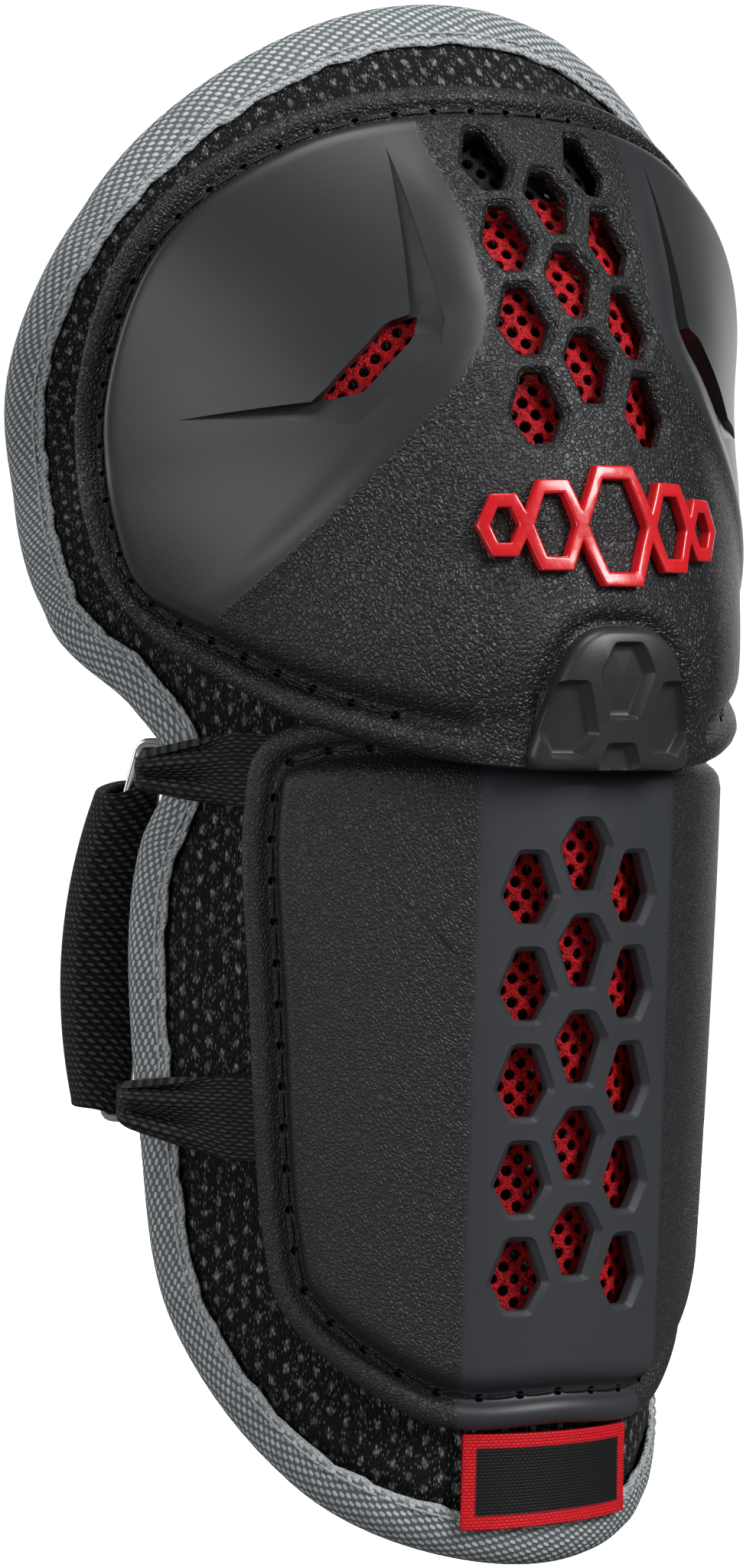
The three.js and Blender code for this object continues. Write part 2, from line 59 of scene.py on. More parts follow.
print("frame loaded, nodes:", len(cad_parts))

# Arm form, in mm and degrees: the front line's bend and the cross sections up the arm.
armForm = {
    "frontY": -48, "forearmLean": -3, "elbowLean": 33, "bendStart": 25, "bendEnd": 125,
    "v": [-150, 0, 60, 125],
    "frontArc": [18, 22, 26, 24], "frontTurn": [26, 27, 30, 20],
    "rim": [50, 60, 92, 92], "rimTurn": [60, 64, 73, 60],
}


def smoothStep(x, low, high):
    t = np.clip((np.asarray(x, float) - low) / (high - low), 0, 1)
    return t * t * (3 - 2 * t)


def eased(v, places, values):
    total = np.full(np.shape(v), float(values[0]))
    for a, b, x, y in zip(places, places[1:], values, values[1:]):
        total = total + (y - x) * smoothStep(v, a, b)
    return total


def bump(u, halfWidth):
    return np.maximum(1 - (u / halfWidth) ** 2, 0) ** 2


def hump(x, width):
    return np.exp(-((x / width) ** 2))


def wrap(u, v, h):
    u, v, h = np.broadcast_arrays(*(np.asarray(x, float) for x in (u, v, h)))
    f = armForm
    low, high = math.radians(f["forearmLean"]), math.radians(f["elbowLean"])
    radius = (f["bendEnd"] - f["bendStart"]) / (high - low)
    lean = low + (np.clip(v, f["bendStart"], f["bendEnd"]) - f["bendStart"]) / radius
    before = np.minimum(v, f["bendStart"])
    after = np.maximum(v - f["bendEnd"], 0)
    y = before * math.sin(low) + radius * (math.cos(low) - np.cos(lean)) + after * np.sin(lean)
    z = before * math.cos(low) + radius * (np.sin(lean) - math.sin(low)) + after * np.cos(lean)
    frontArc = eased(v, f["v"], f["frontArc"])
    frontTurn = np.radians(eased(v, f["v"], f["frontTurn"]))
    rim = eased(v, f["v"], f["rim"])
    rimTurn = np.radians(eased(v, f["v"], f["rimTurn"]))
    frontRadius = frontArc / frontTurn
    sideRadius = (rim - frontArc) / (rimTurn - frontTurn)
    reach = np.abs(u)
    front = np.minimum(reach / frontRadius, frontTurn)
    onSide = np.minimum(frontTurn + (reach - frontArc) / sideRadius, rimTurn)
    turn = np.where(reach > frontArc, onSide, front)
    side = np.maximum(turn, frontTurn)
    margin = np.maximum(reach - rim, 0)
    x = frontRadius * np.sin(front) + sideRadius * (np.sin(side) - np.sin(frontTurn))
    d = frontRadius * (1 - np.cos(front)) + sideRadius * (np.cos(frontTurn) - np.cos(side))
    x = np.sign(u) * (x + margin * np.cos(rimTurn) + h * np.sin(turn))
    depth = d + margin * np.sin(rimTurn) - h * np.cos(turn)
    return np.stack([x, f["frontY"] + y + depth * np.cos(lean), z - depth * np.sin(lean)], -1) * mm


seeding = {"reach": 120, "foot": -150, "top": 162, "pitch": 6.0, "rounds": 6, "step": 0.01, "longest": 8}


def flatOf(points):
    # where points near the surface lie in the flat pattern, by a few Newton steps from the nearest seed
    u, v = np.meshgrid(np.arange(-seeding["reach"], seeding["reach"] + 1, seeding["pitch"]),
                       np.arange(seeding["foot"], seeding["top"] + 1, seeding["pitch"]))
    seeds = np.stack([u.ravel(), v.ravel(), np.zeros(u.size)], -1)
    tree = KDTree(len(seeds))
    for index, place in enumerate(wrap(*seeds.T)):
        tree.insert(place, index)
    tree.balance()
    flat = np.array([seeds[tree.find(p)[1]] for p in points])
    step = seeding["step"]
    for _ in range(seeding["rounds"]):
        here = wrap(*flat.T)
        slopes = [(wrap(*(flat + step * axis).T) - here) / step for axis in np.eye(3)]
        move = np.linalg.solve(np.stack(slopes, -1), (points - here)[..., None])[..., 0]
        flat += np.clip(move, -seeding["longest"], seeding["longest"])
    return flat


knotSteps = 50


def outline(rightHalf, count):
    # evenly spaced points of a closed smooth outline, from the top round by the right
    right = np.array(rightHalf, float)
    knots = np.concatenate([right, right[-2:0:-1] * (-1, 1)])
    t = np.linspace(0, 1, knotSteps, endpoint=False)[:, None]
    runs = []
    for i in range(len(knots)):
        p0, p1, p2, p3 = (knots[(i + k) % len(knots)] for k in (-1, 0, 1, 2))
        a, b, c = (np.linalg.norm(q - p) ** 0.5 for p, q in ((p0, p1), (p1, p2), (p2, p3)))
        m1 = ((p1 - p0) / a - (p2 - p0) / (a + b) + (p2 - p1) / b) * b
        m2 = ((p2 - p1) / b - (p3 - p1) / (b + c) + (p3 - p2) / c) * b
        bend = 3 * (p2 - p1) - 2 * m1 - m2
        runs.append(p1 + m1 * t + bend * t**2 + (2 * (p1 - p2) + m1 + m2) * t**3)
    return evenly(np.concatenate(runs + [knots[:1]]), count)


def gaps(line):
    return np.linalg.norm(np.diff(line, axis=0), axis=1)


def travelled(line):
    return np.concatenate([[0], np.cumsum(gaps(line))])


def closedUp(line):
    return np.r_[line, line[:1]]


def evenly(line, count, closed=True):
    length = travelled(line)
    at = np.linspace(0, length[-1], count, endpoint=not closed)
    return np.stack([np.interp(at, length, column) for column in line.T], -1)


def inset(points, distance):
    heading = np.roll(points, -1, 0) - np.roll(points, 1, 0)
    heading /= np.linalg.norm(heading, axis=1, keepdims=True)
    return points + np.stack([heading[:, 1], -heading[:, 0]], -1) * distance


def away(u, v, line):
    # distance of each flat point from a line's points
    best = np.full(np.shape(u), np.inf)
    for p in line:
        best = np.minimum(best, np.hypot(u - p[0], v - p[1]))
    return best


def within(u, v, line):
    # which flat points lie inside a closed line
    inside = np.zeros(np.shape(u), bool)
    for (x0, y0), (x1, y1) in zip(line, np.roll(line, -1, 0)):
        if y0 != y1:
            inside ^= ((y0 > v) != (y1 > v)) & (u < (x1 - x0) * (v - y0) / (y1 - y0) + x0)
    return inside


# Right halves of the outlines, as in the solids.
padEdge = [(0, 149), (40, 144), (79, 127), (105, 97), (112.5, 62), (105, 22), (86, 7.5), (78, -2.5),
           (83.5, -16), (85.5, -32), (82, -68), (74, -102), (45, -131), (0, -142)]
upperRim = [(0, 126), (42, 125), (72.5, 111), (90, 79), (91, 46), (84, 25), (57, 11), (25, 1.5), (0, 0)]
lowerRim = [(0, 8), (46, 7.5), (56.5, 2), (59, -10), (57, -42), (53, -85), (49, -97.5),
            (28, -113.5), (19, -116.5), (0, -116)]
upperCentre, lowerCentre = np.array([0, 62.0]), np.array([0, -55.0])
upperLine, lowerLine = outline(upperRim, 330), outline(lowerRim, 300)


def moveVerts(bm, points):
    for vert, point in zip(bm.verts, points):
        vert.co = point


def facesOut(bm):
    bmesh.ops.recalc_face_normals(bm, faces=bm.faces)
    if bm.calc_volume(signed=True) < 0:
        bmesh.ops.reverse_faces(bm, faces=bm.faces)


def inOrder(bm, rank):
    # points, edges and faces in a fixed order, so that each run gives the same mesh
    bm.verts.index_update()
    bm.verts.sort(key=lambda vert: rank[vert.index])
    size = len(rank)
    for parts in (bm.edges, bm.faces):
        numbers = {part: sorted(vert.index for vert in part.verts) for part in parts}
        parts.sort(key=lambda part: (numbers[part][0] * size + numbers[part][1]) * size + numbers[part][-1])


# Turned forms: a profile is spun, and each row and step is then laid where the piece has it.
def turned(rowCount, stepCount, place, closed=False):
    bm = bmesh.new()
    ends = () if closed else (0, rowCount - 1)
    line = [bm.verts.new((0 if row in ends else 1, 0, row)) for row in range(rowCount)]
    pairs = list(zip(line, line[1:])) + ([(line[-1], line[0])] if closed else [])
    edges = [bm.edges.new(pair) for pair in pairs]
    bmesh.ops.spin(bm, geom=line + edges, cent=(0, 0, 0), axis=(0, 0, 1), angle=2 * math.pi,
                   steps=stepCount, use_merge=True)
    bmesh.ops.remove_doubles(bm, verts=bm.verts, dist=1e-5)
    co = np.array([vert.co for vert in bm.verts])
    row = np.rint(co[:, 2]).astype(int)
    step = np.rint(np.arctan2(co[:, 1], co[:, 0]) / (2 * math.pi) * stepCount).astype(int) % stepCount
    order = np.argsort(row * stepCount + step)
    inOrder(bm, np.argsort(order))
    row, step = row[order], step[order]
    moveVerts(bm, place(row, step))
    facesOut(bm)
    return bm, row, step


def meshOf(bm, name):
    mesh = bpy.data.meshes.new(name)
    bm.to_mesh(mesh)
    bm.free()
    return mesh


def objectOf(mesh):
    made = bpy.data.objects.new(mesh.name, mesh)
    scene.collection.objects.link(made)
    return made


def bakeModifiers(piece):
    made = bpy.data.meshes.new_from_object(piece.evaluated_get(bpy.context.evaluated_depsgraph_get()))
    old = piece.data
    made.name = old.name
    piece.modifiers.clear()
    piece.data = made
    bpy.data.meshes.remove(old)


def walled(piece, thickness):
    wall = piece.modifiers.new("Wall", "SOLIDIFY")
    wall.thickness, wall.offset = thickness * mm, 0


def smoothAndLay(piece):
    smooth = piece.modifiers.new("Smooth", "SUBSURF")
    smooth.levels = smooth.render_levels = 1
    bakeModifiers(piece)
    layPattern(piece.data, flatOf(places(piece.data)))


def combine(piece, tool, operation):
    change = piece.modifiers.new("Combine", "BOOLEAN")
    change.operation = operation
    change.solver = "MANIFOLD"
    change.object = tool
    bakeModifiers(piece)
    toolMesh = tool.data
    bpy.data.objects.remove(tool)
    bpy.data.meshes.remove(toolMesh)


def joined(shapes, name):
    # several bmesh shapes as one object
    whole = bmesh.new()
    for shape in shapes:
        part = meshOf(shape, "part")
        whole.from_mesh(part)
        bpy.data.meshes.remove(part)
    return objectOf(meshOf(whole, name))


def tubes(paths, radius, name, closed=False):
    # round strands along lists of points in metres, as one mesh
    curve = bpy.data.curves.new(name, "CURVE")
    curve.dimensions = "3D"
    curve.bevel_depth = radius * mm
    curve.bevel_resolution = 1
    curve.use_fill_caps = not closed
    for path in paths:
        spline = curve.splines.new("POLY")
        spline.points.add(len(path) - 1)
        spline.use_cyclic_u = closed
        spline.points.foreach_set("co", np.c_[path, np.ones(len(path))].ravel())
    holder = bpy.data.objects.new(name, curve)
    mesh = bpy.data.meshes.new_from_object(holder)
    mesh.name = name
    bpy.data.objects.remove(holder)
    bpy.data.curves.remove(curve)
    return mesh


def layPattern(mesh, values, domain="POINT"):
    # flat coordinates in mm that the materials read
    layer = mesh.attributes.new("flat", "FLOAT_VECTOR", domain)
    layer.data.foreach_set("vector", np.asarray(values, np.float32).ravel())


def places(mesh):
    co = np.empty(len(mesh.vertices) * 3, np.float32)
    mesh.vertices.foreach_get("co", co)
    return co.reshape(-1, 3).astype(float)


def finishPiece(piece, material, nodes=(), sharp=None):
    mesh = piece.data
    mesh.materials.clear()
    mesh.materials.append(material)
    mesh.shade_smooth()
    if sharp:
        mesh.set_sharp_from_angle(angle=math.radians(sharp))
    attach(piece, "root")
    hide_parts(*nodes)
    print(piece.name, len(mesh.polygons), "faces")


# Materials
def linear(code):
    parts = [int(code[i:i + 2], 16) / 255 for i in (1, 3, 5)]
    return [c / 12.92 if c <= 0.04045 else ((c + 0.055) / 1.055) ** 2.4 for c in parts] + [1]


def addNode(tree, kind, *values, ramp=(), **named):
    # values fill the first sockets in order, capitalised names fill others, the rest are the node's settings
    made = tree.nodes.new("ShaderNode" + kind)
    fill = list(enumerate(values))
    numbers = {socket.identifier.replace(" ", "_"): index for index, socket in enumerate(made.inputs)}
    for key, value in named.items():
        if key[0].isupper():
            fill.append((numbers[key], value))
        else:
            setattr(made, key, value)
    for stop, (place, code) in enumerate(ramp):
        steps = made.color_ramp.elements
        element = steps[stop] if stop < 2 else steps.new(place)
        element.position, element.color = place, linear(code)
    for index, value in fill:
        if isinstance(value, bpy.types.Node):
            value = value.outputs[0]
        if isinstance(value, bpy.types.NodeSocket):
            tree.links.new(value, made.inputs[index])
        else:
            made.inputs[index].default_value = value
    return made


def newMaterial(name, **sockets):
    # the material, a way to add nodes to it, and its shader
    material = bpy.data.materials.new(name)
    material.use_nodes = True
    tree = material.node_tree
    shader = tree.nodes["Principled BSDF"]
    for key, value in sockets.items():
        shader.inputs[key.replace("_", " ")].default_value = value
    return material, partial(addNode, tree), shader


def feed(shader, **sources):
    # links outputs to the shader's sockets
    for key, source in sources.items():
        output = source.outputs[0] if isinstance(source, bpy.types.Node) else source
        shader.id_data.links.new(output, shader.inputs[key.replace("_", " ")])


# Satin moulded thermoplastic: dark charcoal, a broad soft sheen, leather grain from the mould, with painted
# shade in the grain's creases. Sizes in mm.
mouldGrain = {"drift": 1.6, "stir": 0.9, "creaseShare": 0.3, "skin": 0.5, "skinDepth": 0.015, "cloud": 35,
              "blur": 0.6, "formEdge": (0.3, 1.0), "tint": 0.3, "smudge": 0.08, "creaseShade": "#0b0b0c"}
fullReach = 100.0  # the border curve runs from 0 to 1 over this reach


def shellPlastic(name, look):
    material, add, shader = newMaterial(name, IOR=1.5)
    mould = mouldGrain
    body = add("TexCoord").outputs["Object"]
    flat = add("Attribute", attribute_name="flat").outputs["Vector"]
    uv = add("SeparateXYZ", flat)
    # the grain stops at a border line given as a reach from the middle at each height
    reach = add("Math", uv.outputs["X"], operation="ABSOLUTE")
    height = add("MapRange", uv.outputs["Y"], look["borderFoot"], look["borderTop"])
    curve = add("FloatCurve", Value=height)
    points = curve.mapping.curves[0].points
    span = look["borderTop"] - look["borderFoot"]
    for index, (v, u) in enumerate(look["border"]):
        place = ((v - look["borderFoot"]) / span, u / fullReach)
        if index < 2:
            points[index].location = place
        else:
            points.new(*place)
    for point in points:
        point.handle_type = "VECTOR"
    curve.mapping.update()
    limit = add("Math", curve, fullReach, operation="MULTIPLY")
    beyond = add("Math", reach, limit, operation="SUBTRACT")
    low, high = (0.0, 1.0) if look["grainOutside"] else (1.0, 0.0)
    banded = add("MapRange", beyond, -mould["blur"], mould["blur"], low, high)
    # the pattern's third number is the distance from a smooth raised form
    clear = add("MapRange", uv.outputs["Z"], *mould["formEdge"])
    grainy = add("Math", banded, clear, operation="MULTIPLY")
    # pebbles with painted shade darkening the creases between them, pulled about so that they read as leather
    drift = add("TexNoise", body, Scale=1 / (mould["drift"] * mm), Detail=2.0)
    stir = add("VectorMath", drift.outputs["Color"], (mould["stir"] * mm,) * 3, operation="MULTIPLY")
    stirred = add("VectorMath", body, stir, operation="ADD")
    cells = add("TexVoronoi", stirred, Scale=1 / (look["pebble"] * mm), feature="DISTANCE_TO_EDGE")
    pebble = add("MapRange", cells.outputs["Distance"], 0.0, mould["creaseShare"],
                 interpolation_type="SMOOTHSTEP")
    grain = add("Math", pebble, grainy, operation="MULTIPLY")
    # painted shade: the creases between the pebbles are darkened towards a near-black colour, in the grained
    # parts only
    creaseShade = add("Math", grainy, grain, operation="SUBTRACT")
    fine = add("TexNoise", body, Scale=1 / (mould["skin"] * mm), Detail=2.0)
    rough = add("Bump", Height=grain, Distance=look["grainDepth"] * mm)
    skin = add("Bump", Height=fine, Distance=mould["skinDepth"] * mm, Normal=rough)
    cloud = add("TexNoise", body, Scale=1 / (mould["cloud"] * mm), Detail=3.0)
    tint = add("MapRange", cloud, 0.3, 0.7, 0.0, mould["tint"])
    shade = add("Math", tint, grainy, operation="ADD")
    colour = add("ValToRGB", shade, ramp=[(0.0, look["smooth"]), (1.0, look["grainy"])])
    hollowShade = add("Math", creaseShade, look["creaseShade"], operation="MULTIPLY")
    shown = add("Mix", hollowShade, A_Color=colour, B_Color=linear(mould["creaseShade"]), data_type="RGBA")
    gloss = add("MapRange", grainy, 0.0, 1.0, look["smoothRough"], look["grainRough"])
    smudge = add("Math", cloud, mould["smudge"], gloss, operation="MULTIPLY_ADD")
    feed(shader, Base_Color=shown.outputs[2], Roughness=smudge, Normal=skin)
    return material


# Lattices of ovals, as knits and weaves have them.
def dotPair(add, vector, first, second):
    dots = [add("VectorMath", vector, row, operation="DOT_PRODUCT") for row in (first, second)]
    return add("CombineXYZ", *(dot.outputs["Value"] for dot in dots))


def ovalDistance(add, cell, first, second):
    # from the place in a lattice cell to a distance that is 1 at the oval's edge
    near = add("VectorMath", cell, (0.5,) * 3, (-0.5,) * 3, operation="WRAP")
    off = dotPair(add, near, first, second)
    return add("VectorMath", off, operation="LENGTH").outputs["Value"]


# Polyester spacer mesh: black knit with paler oval dimples in staggered rows, pitch and size in mm.
# The standing loops of yarn are drawn a little coarser than the real 0.3 mm so that they show.
meshLook = {"pitch": (5.8, 4.4), "dimple": (0.62, 0.95), "loop": (0.42, 0.95), "wander": 0.6, "worn": 14.0,
            "depth": 0.35, "ramp": [(0.0, "#060607"), (0.25, "#1c1c1e"), (0.5, "#5a5a5c"), (0.9, "#a2a2a3")]}


def spacerMesh():
    material, add, shader = newMaterial("spacer_mesh_polyester", Roughness=0.8, Specular_IOR_Level=0.25)
    flat = add("Attribute", attribute_name="flat").outputs["Vector"]
    (across, up), (wide, tall), loop = meshLook["pitch"], meshLook["dimple"], meshLook["loop"]
    cell = dotPair(add, flat, (1 / across, 1 / up, 0), (1 / across, -1 / up, 0))
    a, b = across / 2 / wide, up / 2 / tall
    far = ovalDistance(add, cell, (a, a, 0), (b, -b, 0))
    wander = add("TexNoise", flat, Scale=1 / meshLook["wander"], Detail=2.0)
    ragged = add("Math", wander, 1.1, far, operation="MULTIPLY_ADD")
    dimple = add("MapRange", ragged, 2.0, 1.1)
    drawn = add("VectorMath", flat, (1 / loop[0], 1 / loop[1], 0), operation="MULTIPLY")
    knit = add("TexVoronoi", drawn, Scale=1.0, feature="F1", voronoi_dimensions="2D")
    loops = add("MapRange", knit.outputs["Distance"], 0.1, 0.65, 1.0, 0.0)
    pick = add("SeparateColor", knit.outputs["Color"])
    bright = add("MapRange", pick.outputs[0], 0.45, 1.0, 0.12, 0.75)
    fleck = add("Math", bright, loops, operation="MULTIPLY")
    lit = add("Math", dimple, 0.5, operation="MULTIPLY")
    worn = add("TexNoise", flat, Scale=1 / meshLook["worn"], Detail=1.0)
    shown = add("Math", lit, worn, fleck, operation="MULTIPLY_ADD")
    light = add("Math", lit, 0.35, shown, operation="MULTIPLY_ADD")
    colour = add("ValToRGB", light, ramp=meshLook["ramp"])
    pit = add("Math", dimple, -0.8, loops, operation="MULTIPLY_ADD")
    relief = add("Bump", Height=pit, Distance=meshLook["depth"] * mm)
    feed(shader, Base_Color=colour, Normal=relief)
    return material


# Woven tapes and knits: a lattice of slanted yarn floats on a darker ground, each with its own tint; the
# floats' paler colour is partly painted highlight and the darker ground between them partly painted shade.
yarn = {"drift": 1.6, "fuzz": 0.35, "fuzzShare": 0.3, "tint": (0.62, 1.0), "floatEdge": (1.25, 0.35),
        "selvedgeBlur": 0.7}


def wovenMaterial(name, look):
    material, add, shader = newMaterial(name, Roughness=look["rough"], Specular_IOR_Level=look["gloss"])
    flat = add("Attribute", attribute_name="flat").outputs["Vector"]
    ((ax, ay), (bx, by)), (long, wide) = look["steps"], look["float"]
    cellArea, slant = ax * by - bx * ay, math.radians(look["slant"])
    drift = add("TexNoise", flat, Scale=1 / yarn["drift"], Detail=2.0)
    stir = add("VectorMath", drift.outputs["Color"], (look["stir"],) * 3, flat, operation="MULTIPLY_ADD")
    cell = dotPair(add, stir, *([x / cellArea for x in row] for row in ((by, -bx, 0), (-ay, ax, 0))))
    # along and across the float, in its half sizes
    lean, rise = math.cos(slant), math.sin(slant)
    far = ovalDistance(add, cell, *(((ax * x + ay * y) / size, (bx * x + by * y) / size, 0)
                                    for x, y, size in ((lean, rise, long), (-rise, lean, wide))))
    # painted highlight on the raised floats, fading to painted shade on the ground between them; the
    # per-float tint below is real
    lit = add("MapRange", far, *yarn["floatEdge"], interpolation_type="SMOOTHSTEP")
    shifted = add("VectorMath", cell, (0.5,) * 3, operation="ADD")
    number = add("VectorMath", shifted, operation="FLOOR")
    tone = add("TexWhiteNoise", number).outputs["Value"]
    tint = add("MapRange", tone, 0.0, 1.0, *yarn["tint"])
    fuzz = add("TexNoise", flat, Scale=1 / yarn["fuzz"], Detail=2.0)
    strand = add("Math", lit, tint, operation="MULTIPLY")
    mixed = add("Math", fuzz, yarn["fuzzShare"], strand, operation="MULTIPLY_ADD")
    # a finer paler selvedge where the tape's inner edge is turned
    across = add("SeparateXYZ", flat).outputs["Y"]
    selvedge = add("MapRange", across, look["selvedge"], look["selvedge"] - yarn["selvedgeBlur"])
    plain = add("MapRange", fuzz, 0.3, 0.7, 0.4, 1.15)
    woven = add("Mix", selvedge, A_Float=mixed, B_Float=plain, data_type="FLOAT")
    colour = add("ValToRGB", woven, ramp=look["ramp"])
    relief = add("Bump", Height=mixed, Distance=look["depth"] * mm)
    feed(shader, Base_Color=colour, Normal=relief)
    return material


# Red polyester net yarn: matt, fuzzy, with painted shade darkening it in its hollows; black yarn above the
# cup's top edge.
netLook = {"strand": 0.5, "fray": 4.0, "blackFrom": (104.5, 105.5), "black": "#0c0c0d",
           "ramp": [(0.0, "#300205"), (0.4, "#b80614"), (1.0, "#f81626")]}


def netYarn():
    material, add, shader = newMaterial("net_yarn_red", Roughness=0.6, Specular_IOR_Level=0.25)
    body = add("TexCoord").outputs["Object"]
    flat = add("Attribute", attribute_name="flat").outputs["Vector"]
    uv = add("SeparateXYZ", flat)
    strands = add("TexNoise", body, Scale=1 / (netLook["strand"] * mm), Detail=4.0)
    frayed = add("Math", strands, netLook["fray"], uv.outputs["Y"], operation="MULTIPLY_ADD")
    black = add("MapRange", frayed, *netLook["blackFrom"], 0.0, 1.0)
    # painted shade: the yarn's colour darkens where its relief is low, in its hollows
    shade = add("MapRange", strands, 0.3, 0.7, 0.0, 0.8)
    hollowShade = add("Math", shade, black, operation="SUBTRACT")
    colour = add("ValToRGB", hollowShade, ramp=netLook["ramp"])
    shown = add("Mix", black, A_Color=colour, B_Color=linear(netLook["black"]), data_type="RGBA")
    relief = add("Bump", Height=strands, Distance=netLook["strand"] * mm)
    feed(shader, Base_Color=shown.outputs[2], Normal=relief)
    return material


# Soft PVC, glossy and slightly uneven from its mould.
def badgeVinyl():
    material, add, shader = newMaterial("badge_vinyl_red", Base_Color=linear("#d0121e"), IOR=1.52,
                                        Coat_Weight=0.5, Coat_Roughness=0.12)
    wave = add("TexNoise", add("TexCoord").outputs["Object"], Scale=1 / (2.2 * mm), Detail=2.0)
    rough = add("MapRange", wave, 0.0, 1.0, 0.22, 0.38)
    relief = add("Bump", Height=wave, Distance=0.08 * mm)
    feed(shader, Roughness=rough, Normal=relief)
    return material


# Chromed steel wire: a clear mirror with faint rubbing marks.
def chromeWire():
    material, add, shader = newMaterial("chromed_steel_wire", Base_Color=linear("#e6e5e2"), Metallic=1.0)
    rub = add("TexNoise", add("TexCoord").outputs["Object"], Scale=1 / (1.5 * mm), Detail=3.0)
    feed(shader, Roughness=add("MapRange", rub, 0.0, 1.0, 0.14, 0.3))
    return material


# Sewing thread: bonded nylon, twisted plies.
def sewingThread(name, code):
    material, add, shader = newMaterial(name, Base_Color=linear(code), Roughness=0.5)
    plies = add("TexWave", add("TexCoord").outputs["Object"], Scale=1 / (0.9 * mm), Distortion=1.0,
                bands_direction="DIAGONAL")
    feed(shader, Normal=add("Bump", Height=plies, Distance=0.08 * mm))
    return material


# creaseShade sets how strongly painted shade darkens the grain's creases
upperLook = {
    "borderFoot": 12, "borderTop": 111.5, "grainOutside": False, "pebble": 0.9, "grainDepth": 0.17,
    "border": [(12, 75), (111.5, 19.6), (66, 21.5), (73, 16.8), (80, 15), (96, 16.3)],
    "smooth": "#2a2b2e", "grainy": "#1d1f22", "creaseShade": 0.9, "smoothRough": 0.38, "grainRough": 0.4,
}
lowerLook = {
    "borderFoot": -130.0, "borderTop": 20.0, "grainOutside": True, "pebble": 0.8, "grainDepth": 0.12,
    "border": [(-130, 18.5), (20, 18.5)],
    "smooth": "#33363b", "grainy": "#232427", "creaseShade": 0.6, "smoothRough": 0.42, "grainRough": 0.46,
}
# Woven looks: the two steps of the float lattice, a float's half sizes, in mm, and slant, in degrees.
tapeLook = {
    "steps": ((1.2, 0.42), (0.0, 1.5)), "float": (0.92, 0.42), "slant": -18, "stir": 0.25, "depth": 0.3,
    "rough": 0.75, "gloss": 0.3, "selvedge": 2.0,
    "ramp": [(0.0, "#3f4649"), (0.25, "#6d7477"), (0.6, "#989da0"), (1.0, "#c6cacb")],
}
elasticLook = {
    "steps": ((1.75, 0.0), (0.87, 1.15)), "float": (0.9, 0.42), "slant": 20, "stir": 0.5, "depth": 0.6,
    "rough": 0.8, "gloss": 0.25, "selvedge": -9.0,
    "ramp": [(0.15, "#020202"), (0.5, "#0c0c0d"), (1.0, "#48484a")],
}
webbingLook = {
    "steps": ((2.2, 0.0), (1.1, 0.72)), "float": (1.05, 0.3), "slant": 0, "stir": 0.25, "depth": 0.3,
    "rough": 0.65, "gloss": 0.25, "selvedge": -9.0,
    "ramp": [(0.15, "#030303"), (0.5, "#101010"), (1.0, "#444240")],
}

plasticUpper = shellPlastic("moulded_plastic_pebble", upperLook)
plasticLower = shellPlastic("moulded_plastic_fine", lowerLook)
padCloth = spacerMesh()
tapeCloth = wovenMaterial("binding_tape_twill", tapeLook)
elasticKnit = wovenMaterial("knitted_elastic", elasticLook)
webbingCloth = wovenMaterial("nylon_webbing", webbingLook)
redNet = netYarn()
vinyl = badgeVinyl()
chrome = chromeWire()
blackThread = sewingThread("thread_black", "#070708")
greyThread = sewingThread("thread_grey", "#aeb2b5")
print("materials made:", len(bpy.data.materials))


# Heights off the pattern, as in the solids.
cupSwell = {"v": [22, 52, 78, 108], "h": [0, 4, 3.2, 0], "halfWidth": 75}
dome = {"v": [0, 19, 41, 66, 84, 126], "h": [14, 16, 12, 10, 8.2, 6], "side": 6.6, "halfWidth": 62}
lip = {"flange": 3.4, "high": 13, "fall": 4.6, "halfWidth": 45, "end": 6, "start": 24}


def padRise(u, v):
    return eased(v, cupSwell["v"], cupSwell["h"]) * bump(u, cupSwell["halfWidth"])


def domeRise(u, v):
    crown = eased(v, dome["v"], dome["h"])
    return dome["side"] + (crown - dome["side"]) * bump(u, dome["halfWidth"])


def upperRimRise(u, v):
    edge = lip["high"] - lip["fall"] * (u / lip["halfWidth"]) ** 2
    lift = 1 - smoothStep(v, lip["end"], lip["start"])
    return lip["flange"] + np.maximum(edge - lip["flange"], 0) * lift


def lowerRimRise(u, v):
    return np.full(np.shape(u), lip["flange"])


# Clip at the foot of the cup: an arch that narrows upwards, in a moat that fades out down its sides.
clip = {
    "outline": [(0, 24.8), (4.2, 24.4), (6.8, 22.3), (8.8, 18), (11.9, 7), (12.4, 1.2), (6, 0.8), (0, 0.8)],
    "moat": 2.0, "moatFrom": 1.1, "moatWidth": 1.5, "moatFoot": 3, "moatFull": 13,
    "rows": [(0, 0, -2), (0.5, 0, -2), (1, 0.5, -2), (1, 0.4, 0.2), (1, 0.15, 0.9), (1, -0.3, 1.4),
             (1, -0.9, 1.6), (0.7, 0, 1.6), (0.4, 0, 1.6), (0, 0, 1.6)],
    "pockets": [(0, 16.0, 1.4), (8.0, 9.2, -2.4), (-8.0, 9.2, -2.4)], "pocketSize": (12.8, 3.9, 1.9),
    "pocketRows": [(0, 0, -0.5), (0.85, -0.6, -0.5), (1, -0.6, -0.5), (1, -0.35, -0.35), (1, 0.25, 1.2),
                   (1, 0.5, 1.62), (1, 0.55, 3), (0, 0, 3)],
    "notch": [(-3.3, -2), (3.3, -2), (2.9, 1.5), (1.8, 4.8), (-1.8, 4.8), (-2.9, 1.5)],
    "pocketCorner": 0.4, "notchCorner": 0.3, "steps": 90,
}
clipLine = outline(clip["outline"], clip["steps"])


def clipDistance(u, v):
    return away(u, v, clipLine) * np.where(within(u, v, clipLine), -1, 1)


# Soft crests beside the cup's grained band and the plate's smooth one.
crest = {"high": 0.7, "beside": 3, "width": 4.5, "foot": (22, 42), "top": (100, 116)}
lowerPanel = {"h": 6.6, "crest": 0.4, "reach": 17.5, "width": 4}


